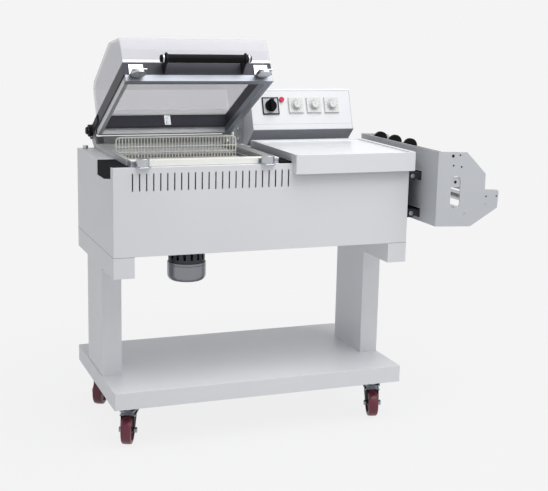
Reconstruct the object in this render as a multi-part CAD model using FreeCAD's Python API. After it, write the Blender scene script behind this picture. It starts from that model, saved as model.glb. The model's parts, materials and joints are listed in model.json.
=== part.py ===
import FreeCAD, Part
import math
import os

# L-bar sealer with a shrink hood: a sheet-metal bench on castors, a heated chamber
# under a hinged clear hood, an L-shaped pair of sealing jaws, a packing table, a
# console and a sliding film rack.
# Millimetres. While modelling, X runs right from the casing's left side, Y runs
# back from its front and Z runs up from the floor. The last step moves the whole
# machine so that its origin is under the middle of its overall box.

V = FreeCAD.Vector
X_AXIS = V(1, 0, 0)
Y_AXIS = V(0, 1, 0)
Z_AXIS = V(0, 0, 1)

# ---------------------------------------------------------------- driving sizes
# Casing
casing_length = 960.0
casing_depth = 525.0
casing_height = 265.0
casing_underside = 600.0
casing_sheet = 1.5
casing_flange = 20.0
corner_return = 30.0
deck_top = casing_underside + casing_height

# Stand
stand_sheet = 2.5
shelf_overhang = 21.0
shelf_depth = casing_depth + shelf_overhang
shelf_top = 183.0
shelf_skirt = 54.0
shelf_lip = 16.0
caster_channel = 125.0
shelf_corner_radius = 4.0
shelf_underside = shelf_top - shelf_skirt
leg_width = 61.5
leg_depth = 214.0
leg_front = 177.0
leg_inset = 3.0
beam_height = 64.0
beam_width = 64.0

# Castors
wheel_radius = 45.0
wheel_width = 32.0
hub_radius = 13.0
hub_width = 35.0
axle_radius = 5.0
running_gap = 0.06
part_gap = 0.3
caster_trail = 28.0
caster_inset_x = 65.0
caster_inset_y = 81.0
caster_plate = (104.0, 84.0, 4.0)
race_radius = 30.0
race_height = 8.0
king_pin_radius = 6.0
fork_sheet = 3.0
fork_gap = 0.5
fork_crown_drop = 14.0
fork_top_length = 62.0
fork_foot_radius = 13.0
plate_corner = 8.0
axle_head = 6.0
axle_nut = 8.0
swivel_angle = {"front_left": -24.0, "front_right": -16.0, "rear_left": -29.0, "rear_right": -12.0}

# Front vents and rear louvres
vent_count = 24
vent_pitch = 21.2
vent_first = 58.0
vent_width = 4.0
vent_length = 52.0
vent_top_drop = 17.0
louvre_count = 12
louvre_pitch = 30.0
louvre_width = 5.0
louvre_length = 60.0
louvre_top_drop = 90.0
gland_drop = 215.0
gland_side_inset = 70.0
gland_radius = 10.0
gland_head = 16.0
gland_thread = 12.0
gland_bore_radius = 6.0

# Corner notch at the front left
notch_back = 213.0
notch_depth = 46.0
notch_slope_start = 120.0
notch_front_lift = 12.0
guard_gap = 1.0
guard_width = 58.0
guard_wall = 3.0

# Shrink chamber
chamber_left = 74.0
chamber_right_inset = 31.0
chamber_right = casing_length - 445.0 - chamber_right_inset
chamber_front = 72.0
chamber_back_inset = 217.0
chamber_back = casing_depth - chamber_back_inset
chamber_sheet = 1.2
chamber_depth = 200.0
chamber_flange = 12.0
chamber_vent_count = 5
chamber_vent_pitch = 74.0
chamber_vent = (52.0, 6.0)
chamber_vent_drop = 62.0

# Basket
basket_clearance = 4.0
basket_wire = 2.6
basket_rim = 4.0
basket_floor_drop = 6.0
basket_fence_height = 57.0
basket_mid_rail = 30.0
basket_pitch = 20.0
basket_corner = 16.0
basket_rest_width = 14.0

# Fan and heaters
motor_radius = 61.5
motor_drop = 122.0
motor_bottom = casing_underside - motor_drop
motor_height = 60.0
motor_edge = 9.0
shaft_pocket = 20.0
cage_radius = 58.0
cage_wall = 2.0
cage_slot_count = 16
cage_slot = (8.0, 40.0)
shaft_radius = 5.0
impeller_radius = 70.0
impeller_height = 36.0
impeller_blades = 8
impeller_sheet = 2.0
impeller_lift = 14.0
heater_radius = 4.5
heater_bend = 30.0
heater_lift = 78.0
heater_end_gap = 80.0
heater_run = chamber_right - chamber_left - heater_end_gap
baffle_lift = 118.0
baffle_hole = 62.0
baffle_margin = 16.0
baffle_foot = 14.0

# Hood, measured along (s, forward from the hinge) and up (n) with the hood shut
hood_left = 52.0
hood_right_inset = 445.0
hood_right = casing_length - hood_right_inset
hinge_overhang = 5.0
hinge_lift = 56.0
hinge_y = casing_depth + hinge_overhang
hinge_z = deck_top + hinge_lift
hinge_to_frame_plane = 17.0
hood_open_angle = 26.7
frame_height = 38.0
frame_rear = 47.0
frame_front_y = 33.0
frame_front = hinge_y - frame_front_y
frame_side_bar = 20.0
frame_end_bar = 33.0
shell_wall = 5.0
shell_rear = 78.0
shell_rear_top = 129.0
shell_roof_rear = (100.0, 150.0)
shell_roof_front = (hinge_y - 170.0, 166.0)
shell_front_top = (hinge_y - 42.0, 122.0)
shell_front_fold = 80.0
shell_bend_radius = 9.0
upper_jaw_height = 20.2
upper_jaw_width = 24.0
seal_gap = 0.3

# Hinge
hinge_shaft_radius = 8.0
arm_sheet = 4.0
arm_boss_radius = 20.0
arm_boss_length = 14.0
arm_length = 108.0
arm_tail = 34.0
bracket_sheet = 6.0
bracket_foot_length = 43.0
bracket_foot_front = casing_depth - bracket_foot_length
bracket_head_radius = 17.0
bracket_gap = 4.0
stop_pin_radius = 4.0
stop_pin_reach = 26.0
deck_bolt_x = 22.0
deck_bolt_inset = 25.0
deck_bolt_y = casing_depth - deck_bolt_inset
deck_bolt_radius = 5.0
deck_bolt_height = 11.0
spring_radius = 15.0
spring_length = 96.0

# Jaws, magnets and armatures
jaw_width = 36.0
jaw_left = 60.0
jaw_strip = 2.5
jaw_groove = 5.0
wire_width = 2.0
wire_height = 0.8
frame_plane = hinge_z - hinge_to_frame_plane
jaw_top = frame_plane - upper_jaw_height - wire_height - seal_gap
magnet_radius = 20.0
magnet_height = 24.0
magnet_left = 90.0
magnet_right = hood_right - 36.0
magnet_y = 5.0
bracket_plate = 3.0
armature_radius = 22.0
armature_height = 8.0
seat_width = 16.0
seat_gasket = 2.5

# Handle
grip_left = 155.0
grip_right = hood_right - 78.0
grip_radius = 13.0
grip_reach = 10.0
grip_s = hinge_y + grip_reach
grip_n = 33.0
grip_bracket_sheet = 5.0
grip_bracket_inset = 16.0
catch_offset = 6.0
catch_width = 22.0
screw_radius = 2.5

# Console
console_length = 375.0
console_left = casing_length - console_length
console_nose = (casing_depth - 95.0, deck_top + 59.0)
console_top_front = (casing_depth - 47.0, deck_top + 195.0)
console_back = casing_depth + 15.0
console_foot_front = casing_depth - 29.0
console_sheet = 1.5
console_bend = 5.0
switch_inset = 70.0
switch_x = console_left + switch_inset
switch_plate = 56.0
switch_plate_depth = 3.0
switch_skirt = 20.0
switch_skirt_height = 8.0
switch_bar = 12.0
switch_height = 22.0
switch_v = 84.0
lamp_gap = 42.0
lamp_x = switch_x + lamp_gap
lamp_v = 106.0
lamp_radius = 9.0
lamp_height = 7.0
dial_first_inset = 164.0
dial_first_x = console_left + dial_first_inset
dial_pitch = 67.0
dial_plate = 54.0
dial_v = 86.0
dial_plate_depth = 6.0
dial_radius = 12.0
dial_height = 13.0
dial_flutes = 16

# Table
table_overlap = 24.0
table_left = console_left - table_overlap
table_side_reach = 9.0
table_right = casing_length + table_side_reach
table_front = -24.0
table_back_inset = 134.0
table_back = casing_depth - table_back_inset
table_lift = 30.0
table_top = deck_top + table_lift
table_rail_insets = (60.0, 70.0)
table_rail_gap = 20.0
table_rail_front = 30.0
table_sheet = 1.5
table_skirt = 60.0
table_rim = 12.0
table_recess = 5.0
support_width = 36.0

# Film rack
rack_gap = 48.0
rack_sheet = 3.0
rack_front = -99.0
rack_depth = casing_depth + 39.0
rack_low = casing_underside + 62.0
rack_high = casing_underside + 304.0
rack_mid_x = casing_length + 150.0
rack_nose_x = casing_length + 273.0
rack_toe_x = casing_length + 174.0
nose_low = casing_underside + 119.0
nose_high = casing_underside + 179.0
shoulder_x = casing_length + 221.0
shoulder_z = casing_underside + 230.0
slot_x = casing_length + 114.0
slot_low = casing_underside + 124.0
slot_high = casing_underside + 226.0
slot_width = 34.0
rail_low_z = casing_underside + 94.0
rail_high_z = casing_underside + 215.0
rail_height = 27.0
rail_wall = 3.0
rail_front = 4.0
rail_end_gap = 55.0
runner_end_gap = 60.0
rail_length = casing_depth - rail_end_gap
rack_travel_gap = 0.5
perforator_x = casing_length + 100.0
perforator_z = casing_underside + 289.0
perforator_shaft = 5.0
perforator_wheel = 25.0
perforator_width = 12.0
perforator_first_y = 193.0
perforator_pitch = 112.0
roller_radius = 15.0
journal_radius = 5.0
roller_places = {
    "lower_film_roller": (rack_mid_x, rack_low + 43.0),
    "outer_film_roller": (rack_nose_x - 47.0, nose_low + 14.0),
}
tension_roller_radius = 13.0
tension_drop = 20.0
tension_z = slot_high - tension_drop
tie_bar_height = 16.0
tie_bar_inset = 28.0


# ---------------------------------------------------------------- shape helpers
def block(x_range, y_range, z_range):
    """A box between three pairs of limits."""
    size = [high - low for low, high in (x_range, y_range, z_range)]
    return Part.makeBox(*size, V(x_range[0], y_range[0], z_range[0]))


def rod(start, direction, radius, length):
    """A round bar from a point along a direction."""
    return Part.makeCylinder(radius, length, V(*start), direction)


def washer(start, direction, outer, inner, length):
    """A round bar with a bore."""
    bore = rod(start, direction, inner, length)
    return rod(start, direction, outer, length).cut(bore)


def rounded_wire(corners, place):
    """A closed wire through corners (a, b) or (a, b, radius), placed in space."""
    count = len(corners)
    edges = []
    arcs = []
    for i in range(count):
        corner = V(corners[i][0], corners[i][1], 0)
        radius = corners[i][2] if len(corners[i]) > 2 else 0.0
        if radius <= 0.0:
            arcs.append((corner, None, corner))
            continue
        before = V(corners[i - 1][0], corners[i - 1][1], 0) - corner
        after = V(corners[(i + 1) % count][0], corners[(i + 1) % count][1], 0) - corner
        before.normalize()
        after.normalize()
        half_turn = before.getAngle(after) / 2.0
        setback = radius / math.tan(half_turn)
        inward = before + after
        inward.normalize()
        middle = corner + inward * (radius / math.sin(half_turn) - radius)
        arcs.append((corner + before * setback, middle, corner + after * setback))
    for i in range(count):
        start, middle, end = arcs[i]
        if middle is not None:
            edges.append(Part.Arc(place(start), place(middle), place(end)).toShape())
        following = arcs[(i + 1) % count][0]
        if end.distanceToPoint(following) > 1e-6:
            edges.append(Part.LineSegment(place(end), place(following)).toShape())
    return Part.Wire(edges)


def prism_x(corners, x_range):
    """A profile of (y, z) corners pushed along X."""
    wire = rounded_wire(corners, lambda p: V(x_range[0], p.x, p.y))
    return Part.Face(wire).extrude(V(x_range[1] - x_range[0], 0, 0))


def prism_y(corners, y_range):
    """A profile of (x, z) corners pushed along Y."""
    wire = rounded_wire(corners, lambda p: V(p.x, y_range[0], p.y))
    return Part.Face(wire).extrude(V(0, y_range[1] - y_range[0], 0))


def prism_z(corners, z_range):
    """A profile of (x, y) corners pushed along Z."""
    wire = rounded_wire(corners, lambda p: V(p.x, p.y, z_range[0]))
    return Part.Face(wire).extrude(V(0, 0, z_range[1] - z_range[0]))


def slot_y(x, z_low, z_high, width, y_range):
    """An upright slot cut along Y."""
    return block((x - width / 2.0, x + width / 2.0), y_range, (z_low, z_high))


def cut_all(shape, tools):
    """A shape less a list of tools."""
    return shape.cut(Part.makeCompound(tools))


def fuse_all(shapes):
    """One solid from shapes that touch."""
    return shapes[0].multiFuse(shapes[1:]).removeSplitter()


def group(shapes):
    """Separate solids that share one node."""
    return Part.makeCompound(shapes)


def hex_bolt(start, direction, radius, head_height, shank):
    """A hexagon head with its shank: the head stands back from the start point."""
    flat = direction * -1.0
    head_axis = V(flat)
    helper = X_AXIS if abs(direction.x) < 0.5 else Y_AXIS
    side = head_axis.cross(helper)
    side.normalize()
    other = head_axis.cross(side)
    base = V(*start)
    points = []
    for k in range(7):
        turn = math.radians(60.0 * k)
        reach = side * math.cos(turn) + other * math.sin(turn)
        points.append(base + reach * (radius * 1.9))
    head = Part.Face(Part.makePolygon(points)).extrude(head_axis * head_height)
    if shank <= 0.0:
        return head
    return head.fuse(Part.makeCylinder(radius, shank, base, direction))


# ---------------------------------------------------------------- stand
def caster_centres():
    """Swivel centres of the four castors."""
    left = caster_inset_x
    right = casing_length - caster_inset_x
    front = caster_inset_y
    back = shelf_depth - caster_inset_y
    return {
        "front_left": (left, front),
        "front_right": (right, front),
        "rear_left": (left, back),
        "rear_right": (right, back),
    }


def base_shelf():
    """Upturned pan with skirts all round and a closed channel over the castors."""
    wall = stand_sheet
    length = casing_length
    outer = block((0, length), (0, shelf_depth), (shelf_underside, shelf_top))
    uprights = [e for e in outer.Edges if abs(e.tangentAt(e.FirstParameter).z) > 0.9]
    outer = outer.makeFillet(shelf_corner_radius, uprights)
    inside = block((wall, length - wall), (wall, shelf_depth - wall), (shelf_underside + wall, shelf_top - wall))
    mouth = block(
        (caster_channel, length - caster_channel),
        (shelf_lip, shelf_depth - shelf_lip),
        (shelf_underside - 1, shelf_underside + wall + 1),
    )
    return cut_all(outer, [inside, mouth])


def leg(x_low, beam_low):
    """Closed sheet column with the folded cross tray welded on its top."""
    wall = stand_sheet
    x_high = x_low + leg_width
    y_high = leg_front + leg_depth
    beam_z = casing_underside - beam_height
    column = block((x_low, x_high), (leg_front, y_high), (shelf_top, beam_z))
    bore = block((x_low + wall, x_high - wall), (leg_front + wall, y_high - wall), (shelf_top, beam_z))
    beam_high = beam_low + beam_width
    tray = block((beam_low, beam_high), (0, casing_depth), (beam_z, casing_underside))
    hollow = block(
        (beam_low + wall, beam_high - wall),
        (wall, casing_depth - wall),
        (beam_z + wall, casing_underside + 1),
    )
    return column.cut(bore).fuse(tray.cut(hollow)).removeSplitter()


def caster_top(centre):
    """Fixing plate with the fixed half of the swivel race under it."""
    size_x, size_y, thick = caster_plate
    z_low = shelf_underside - thick
    half_x = size_x / 2.0
    half_y = size_y / 2.0
    x, y = centre
    plate = block((x - half_x, x + half_x), (y - half_y, y + half_y), (z_low, shelf_underside))
    uprights = [e for e in plate.Edges if abs(e.tangentAt(e.FirstParameter).z) > 0.9]
    plate = plate.makeChamfer(plate_corner, uprights)
    race = rod((x, y, z_low - race_height), Z_AXIS, race_radius, race_height)
    bore = rod((x, y, z_low - race_height - 1), Z_AXIS, king_pin_radius + part_gap, race_height + thick + 2)
    return plate.fuse(race).removeSplitter().cut(bore)


def fork():
    """Swivelling fork about its own pin: crown, two cheeks, king pin and axle bolt."""
    crown_top = shelf_underside - caster_plate[2] - race_height - part_gap
    crown_low = crown_top - fork_sheet
    inner = hub_width / 2.0 + fork_gap
    outer = inner + fork_sheet
    half_top = fork_top_length / 2.0
    foot = fork_foot_radius
    corner = foot * 0.6
    pieces = [block((-outer, outer), (-half_top, half_top), (crown_low, crown_top))]
    outline = [
        (half_top, crown_top),
        (half_top, crown_top - fork_crown_drop),
        (-caster_trail + foot, wheel_radius),
        (-caster_trail + corner, wheel_radius - foot),
        (-caster_trail - corner, wheel_radius - foot),
        (-caster_trail - foot, wheel_radius + corner),
        (-half_top, crown_top - fork_crown_drop),
        (-half_top, crown_top),
    ]
    pieces.append(prism_x(outline, (inner, outer)))
    pieces.append(prism_x(outline, (-outer, -inner)))
    pieces.append(rod((0, 0, crown_low), Z_AXIS, king_pin_radius, shelf_underside - crown_low - 2.0))
    pieces.append(rod((-outer, -caster_trail, wheel_radius), X_AXIS, axle_radius, 2 * outer))
    pieces.append(hex_bolt((-outer, -caster_trail, wheel_radius), X_AXIS, axle_radius, axle_head, 0.0))
    pieces.append(hex_bolt((outer, -caster_trail, wheel_radius), X_AXIS * -1.0, axle_radius, axle_nut, 0.0))
    return fuse_all(pieces)


def wheel():
    """Castor wheel turned about its axle: hub and disc."""
    half = wheel_width / 2.0
    hub_half = hub_width / 2.0
    rows = [
        (axle_radius + running_gap, hub_half),
        (hub_radius, hub_half),
        (hub_radius, half),
        (wheel_radius, half),
    ]
    points = [V(x, 0, r) for r, x in rows]
    points += [V(-x, 0, r) for r, x in reversed(rows)]
    points.append(points[0])
    turned = Part.Face(Part.makePolygon(points)).revolve(V(0, 0, 0), X_AXIS, 360)
    turned.translate(V(0, -caster_trail, wheel_radius))
    return turned


def place_caster(shape, name):
    """Turn a castor piece to its swivel angle and put it under its plate."""
    x, y = caster_centres()[name]
    shape.rotate(V(0, 0, 0), Z_AXIS, swivel_angle[name])
    shape.translate(V(x, y, 0))
    return shape


# ---------------------------------------------------------------- casing
def notch_side_profile():
    """Side view of the corner notch, open at the deck."""
    low = deck_top - notch_depth
    return [
        (notch_back, deck_top + 1.0),
        (notch_back, low),
        (notch_slope_start, low),
        (corner_return, low + notch_front_lift),
        (corner_return, deck_top + 1.0),
    ]


def front_panel():
    """Vented front with folded returns at its sides, top and foot."""
    t = casing_sheet
    full_z = (casing_underside, deck_top)
    face = block((0, casing_length), (0, t), full_z)
    left = block((0, t), (0, corner_return), full_z)
    right = block((casing_length - t, casing_length), (0, corner_return), full_z)
    top = block((0, casing_length), (0, casing_flange), (deck_top - t, deck_top))
    foot = block((0, casing_length), (0, casing_flange), (casing_underside, casing_underside + t))
    panel = fuse_all([face, left, right, top, foot])
    folds = []
    for edge in panel.Edges:
        middle = edge.CenterOfMass
        upright = abs(edge.tangentAt(edge.FirstParameter).z) > 0.9
        at_side = min(abs(middle.x), abs(middle.x - casing_length)) < 0.01
        if abs(middle.y) < 0.01 and upright and at_side:
            folds.append(edge)
    panel = panel.makeFillet(t * 0.9, folds)
    z_high = deck_top - vent_top_drop
    vents = []
    for k in range(vent_count):
        x = vent_first + k * vent_pitch
        vents.append(slot_y(x, z_high - vent_length, z_high, vent_width, (-1, t + 1)))
    return cut_all(panel, vents)


def side_panel(x_low, notched):
    """Plain side sheet between the front return and the rear panel."""
    t = casing_sheet
    x_range = (x_low, x_low + t)
    panel = block(x_range, (corner_return, casing_depth - t), (casing_underside, deck_top))
    if not notched:
        return panel
    return panel.cut(prism_x(notch_side_profile(), (x_low - 1, x_low + t + 1)))


def gland_place():
    """Where the supply lead enters the rear panel."""
    return (casing_length - gland_side_inset, deck_top - gland_drop)


def rear_panel():
    """Rear sheet with a row of louvre slots and the hole for the supply gland."""
    t = casing_sheet
    y_range = (casing_depth - t, casing_depth)
    panel = block((0, casing_length), y_range, (casing_underside, deck_top))
    z_high = deck_top - louvre_top_drop
    first = casing_length / 2.0 - louvre_pitch * (louvre_count - 1) / 2.0
    cut_range = (casing_depth - t - 1, casing_depth + 1)
    tools = []
    for k in range(louvre_count):
        tools.append(slot_y(first + k * louvre_pitch, z_high - louvre_length, z_high, louvre_width, cut_range))
    x, z = gland_place()
    tools.append(rod((x, cut_range[0], z), Y_AXIS, gland_radius + part_gap, t + 2))
    return cut_all(panel, tools)


def supply_gland():
    """Gland body through the rear panel, with its hexagon outside."""
    x, z = gland_place()
    t = casing_sheet
    start = casing_depth - t - gland_thread
    length = t + gland_thread + gland_head
    outside = hex_bolt((x, casing_depth, z), Y_AXIS * -1.0, gland_radius, gland_head, 0.0)
    stem = rod((x, start, z), Y_AXIS, gland_radius, t + gland_thread)
    bore = rod((x, start - 1, z), Y_AXIS, gland_bore_radius, length + 2)
    return outside.fuse(stem).cut(bore)


def fan_centre():
    """The fan stands under the middle of the chamber."""
    return ((chamber_left + chamber_right) / 2.0, (chamber_front + chamber_back) / 2.0)


def floor_pan():
    """Bottom sheet of the casing, holed for the fan shaft."""
    t = casing_sheet
    floor = block(
        (t, casing_length - t),
        (casing_flange, casing_depth - t),
        (casing_underside, casing_underside + t),
    )
    x, y = fan_centre()
    hole = rod((x, y, casing_underside - 1), Z_AXIS, shaft_radius * 3.0, t + 2)
    return floor.cut(hole)


def deck_plate():
    """Top sheet, cut out for the chamber and for the corner notch."""
    t = casing_sheet
    deck = block((t, casing_length - t), (casing_flange, casing_depth - t), (deck_top - t, deck_top))
    z_cut = (deck_top - t - 1, deck_top + 1)
    chamber = block((chamber_left, chamber_right), (chamber_front, chamber_back), z_cut)
    notch = block((0, guard_width + part_gap), (casing_flange - 1, notch_back), z_cut)
    return cut_all(deck, [chamber, notch])


def corner_guard():
    """Moulded guard that fills the corner notch under the end of the front jaw."""
    t = casing_sheet
    low = deck_top - notch_depth
    inset = guard_gap
    top = deck_top
    front = casing_flange + part_gap
    x_range = (part_gap, guard_width)
    body = prism_x(
        [
            (notch_back - inset, top),
            (notch_back - inset, low + inset),
            (notch_slope_start, low + inset),
            (corner_return + inset, low + notch_front_lift + inset),
            (corner_return + inset, top - 2.0 * guard_wall),
            (front, top - 2.0 * guard_wall),
            (front, top),
        ],
        x_range,
    )
    returns = block((0, t + part_gap), (0, corner_return + inset), (low, top - t))
    pocket = block(
        (x_range[0] + guard_wall, x_range[1] - guard_wall),
        (corner_return + inset + guard_wall, notch_back - inset - guard_wall),
        (low - 1, top - guard_wall),
    )
    lip = block((0, t + part_gap), (0, corner_return + inset), (top - t, top + 1))
    return cut_all(body, [returns, pocket, lip])


# ---------------------------------------------------------------- chamber
def chamber_floor():
    """Height of the chamber's bottom sheet."""
    return deck_top - casing_sheet - chamber_depth


def chamber_tub():
    """Folded tub hung under the deck opening, with air slots in both long walls."""
    t = chamber_sheet
    top = deck_top - casing_sheet
    low = chamber_floor()
    outer = block(
        (chamber_left - t, chamber_right + t),
        (chamber_front - t, chamber_back + t),
        (low - t, top),
    )
    flange = block(
        (chamber_left - chamber_flange, chamber_right + chamber_flange),
        (chamber_front - chamber_flange, chamber_back + chamber_flange),
        (top - t, top),
    )
    inner = block((chamber_left, chamber_right), (chamber_front, chamber_back), (low, top + 1))
    x, y = fan_centre()
    tools = [inner, rod((x, y, low - t - 1), Z_AXIS, shaft_radius * 3.0, t + 2)]
    length, height = chamber_vent
    first = x - chamber_vent_pitch * (chamber_vent_count - 1) / 2.0
    for k in range(chamber_vent_count):
        middle = first + k * chamber_vent_pitch
        tools.append(
            block(
                (middle - length / 2.0, middle + length / 2.0),
                (chamber_front - t - 1, chamber_back + t + 1),
                (top - chamber_vent_drop, top - chamber_vent_drop + height),
            )
        )
    tub = cut_all(outer.fuse(flange), tools + heater_holes())
    return fuse_all([tub] + basket_rests())


def basket_rests():
    """Two angle ledges inside the tub that carry the basket."""
    top = basket_floor_low()
    ledges = []
    for side in (-1, 1):
        wall = chamber_right if side > 0 else chamber_left
        inward = wall - side * basket_rest_width
        x_range = (min(wall, inward), max(wall, inward))
        y_range = (chamber_front, chamber_back)
        ledges.append(block(x_range, y_range, (top - chamber_sheet, top)))
    return ledges


def basket_floor_low():
    """Underside of the basket's floor."""
    return deck_top - basket_floor_drop - basket_wire - basket_rim


def basket():
    """Wire tray: bent wires make the floor and the rear fence, tied by cross rods."""
    x_low = chamber_left + basket_clearance
    x_high = chamber_right - basket_clearance
    y_low = chamber_front + basket_clearance
    y_high = chamber_back - basket_clearance
    floor_low = basket_floor_low() + basket_rim
    fence_top = deck_top + basket_fence_height
    wire = basket_wire
    rim = basket_rim
    pieces = []
    count = int((x_high - x_low - 2.0 * rim) / basket_pitch)
    first = (x_low + x_high) / 2.0 - basket_pitch * count / 2.0
    for k in range(count + 1):
        x_range = (first + k * basket_pitch - wire / 2.0, first + k * basket_pitch + wire / 2.0)
        pieces.append(block(x_range, (y_low + 0.5, y_high), (floor_low - 0.4, floor_low + wire)))
        pieces.append(block(x_range, (y_high - wire, y_high), (floor_low - 0.4, fence_top - rim + 0.4)))
    for y in (y_low + rim / 2.0, (y_low + y_high) / 2.0, y_high - rim / 2.0 - wire):
        pieces.append(block((x_low, x_high), (y - rim / 2.0, y + rim / 2.0), (floor_low - rim, floor_low)))
    rail_z = deck_top + basket_mid_rail
    back_rail = (y_high - 0.4, y_high + rim * 0.6)
    pieces.append(block((x_low, x_high), back_rail, (rail_z - rim / 2.0, rail_z + rim / 2.0)))
    for x in (x_low, x_high - rim):
        pieces.append(block((x, x + rim), (y_low, y_high + rim * 0.6), (floor_low - rim, floor_low)))
    r = basket_corner
    hoop_outer = prism_y(
        [(x_low, floor_low - rim), (x_high, floor_low - rim), (x_high, fence_top, r), (x_low, fence_top, r)],
        (y_high - wire, y_high - wire + rim),
    )
    hoop_inner = prism_y(
        [
            (x_low + rim, floor_low),
            (x_high - rim, floor_low),
            (x_high - rim, fence_top - rim, r - rim),
            (x_low + rim, fence_top - rim, r - rim),
        ],
        (y_high - wire - 1, y_high - wire + rim + 1),
    )
    pieces.append(hoop_outer.cut(hoop_inner))
    return fuse_all(pieces)


def fan_motor():
    """Motor can with a rounded lower edge, bored for its shaft."""
    x, y = fan_centre()
    edge = motor_edge
    rows = [
        (0.0, motor_bottom),
        (motor_radius - edge, motor_bottom),
        (motor_radius, motor_bottom + edge),
        (motor_radius, motor_bottom + motor_height),
        (0.0, motor_bottom + motor_height),
    ]
    points = [V(r, 0, z) for r, z in rows]
    points.append(points[0])
    can = Part.Face(Part.makePolygon(points)).revolve(V(0, 0, 0), Z_AXIS, 360)
    can.translate(V(x, y, 0))
    bore = rod((x, y, motor_bottom + shaft_pocket), Z_AXIS, shaft_radius + running_gap, motor_height)
    return can.cut(bore)


def motor_cage():
    """Slotted cooling drum that hangs the motor from the casing floor."""
    x, y = fan_centre()
    low = motor_bottom + motor_height
    high = casing_underside
    drum = rod((x, y, low), Z_AXIS, cage_radius, high - low)
    hollow = rod((x, y, low - 1), Z_AXIS, cage_radius - cage_wall, high - low + 2)
    width, height = cage_slot
    middle = (low + high) / 2.0
    tools = [hollow]
    for k in range(cage_slot_count // 2):
        cutter = block(
            (-cage_radius - 1, cage_radius + 1),
            (-width / 2, width / 2),
            (middle - height / 2, middle + height / 2),
        )
        cutter.rotate(V(0, 0, 0), Z_AXIS, 360.0 * k / cage_slot_count)
        cutter.translate(V(x, y, 0))
        tools.append(cutter)
    return cut_all(drum, tools)


def fan_impeller():
    """Shaft, back plate and straight radial blades of the circulation fan."""
    x, y = fan_centre()
    low = chamber_floor() + impeller_lift
    foot = motor_bottom + shaft_pocket + 0.5
    shaft = rod((x, y, foot), Z_AXIS, shaft_radius, low + impeller_height - foot)
    plate = rod((x, y, low), Z_AXIS, impeller_radius, impeller_sheet)
    blades = []
    for k in range(impeller_blades):
        blade = block(
            (shaft_radius * 0.5, impeller_radius * 0.96),
            (-impeller_sheet / 2.0, impeller_sheet / 2.0),
            (low, low + impeller_height),
        )
        blade.rotate(V(0, 0, 0), Z_AXIS, 360.0 * k / impeller_blades)
        blade.translate(V(x, y, 0))
        blades.append(blade)
    return fuse_all([shaft, plate] + blades)


def heater_middles():
    """Depth of each heater pair's middle line."""
    inset = heater_bend + baffle_margin + baffle_foot + 2.0 * heater_radius
    return (chamber_front + inset, chamber_back - inset)


def heater_elements():
    """Two pairs of heating rods, each joined at its left end by a link block."""
    z = chamber_floor() + heater_lift
    x_end = chamber_right + chamber_sheet + 14.0
    x_link = x_end - heater_run
    link = heater_radius * 1.3
    pairs = []
    for middle in heater_middles():
        bars = []
        for y in (middle - heater_bend, middle + heater_bend):
            bars.append(rod((x_link, y, z), X_AXIS, heater_radius, heater_run))
        joint = block(
            (x_link - 2.0 * link, x_link),
            (middle - heater_bend - link, middle + heater_bend + link),
            (z - link, z + link),
        )
        pairs.append(fuse_all([joint] + bars))
    return pairs


def heater_holes():
    """Clearance holes for the heating rods, to be cut from the tub's right wall."""
    z = chamber_floor() + heater_lift
    holes = []
    for middle in heater_middles():
        for y in (middle - heater_bend, middle + heater_bend):
            start = (chamber_right - 1.0, y, z)
            holes.append(rod(start, X_AXIS, heater_radius + running_gap, chamber_sheet + 2.0))
    return holes


def air_baffle():
    """Plate on four feet over the fan, with the return-air hole in its middle."""
    x, y = fan_centre()
    low = chamber_floor()
    x_range = (chamber_left + baffle_margin, chamber_right - baffle_margin)
    y_range = (chamber_front + baffle_margin, chamber_back - baffle_margin)
    plate = block(x_range, y_range, (low + baffle_lift, low + baffle_lift + chamber_sheet))
    feet = []
    for x_foot in (x_range[0], x_range[1] - chamber_sheet):
        for y_foot in (y_range[0], y_range[1] - baffle_foot):
            feet.append(
                block((x_foot, x_foot + chamber_sheet), (y_foot, y_foot + baffle_foot), (low, low + baffle_lift + 0.5))
            )
    hole = rod((x, y, low + baffle_lift - 1), Z_AXIS, baffle_hole, chamber_sheet + 2)
    return fuse_all([plate] + feet).cut(hole)


# ---------------------------------------------------------------- lower jaws
def front_jaw_y():
    """Depth range of the front jaw: centred under the hood's front jaw."""
    middle = hinge_y - frame_front + upper_jaw_width / 2.0
    return (middle - jaw_width / 2.0, middle + jaw_width / 2.0)


def side_jaw_x():
    """Width range of the side jaw: centred under the hood's side jaw."""
    middle = hood_right - upper_jaw_width / 2.0 + 2.0
    return (middle - jaw_width / 2.0, middle + jaw_width / 2.0)


def jaw_section(low, high, z_low, z_high):
    """Extruded jaw section: grooved flanks and a shallow seat for the strip."""
    groove = jaw_groove
    depth = 3.0
    middle = (z_low + z_high) / 2.0
    return [
        (low, z_low),
        (high, z_low),
        (high, middle - groove / 2.0),
        (high - depth, middle - groove / 2.0),
        (high - depth, middle + groove / 2.0),
        (high, middle + groove / 2.0),
        (high, z_high),
        (low, z_high),
        (low, middle + groove / 2.0),
        (low + depth, middle + groove / 2.0),
        (low + depth, middle - groove / 2.0),
        (low, middle - groove / 2.0),
    ]


def lower_jaw_front():
    """Front jaw bar, on the deck's front edge from the corner guard to the side jaw."""
    y_low, y_high = front_jaw_y()
    z_high = jaw_top - jaw_strip
    return prism_x(jaw_section(y_low, y_high, deck_top, z_high), (jaw_left, side_jaw_x()[1]))


def lower_jaw_side():
    """Side jaw bar, running back from the front jaw."""
    y_low = front_jaw_y()[1]
    x_low, x_high = side_jaw_x()
    z_high = jaw_top - jaw_strip
    return prism_y(jaw_section(x_low, x_high, deck_top, z_high), (y_low, hinge_y - frame_rear))


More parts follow.
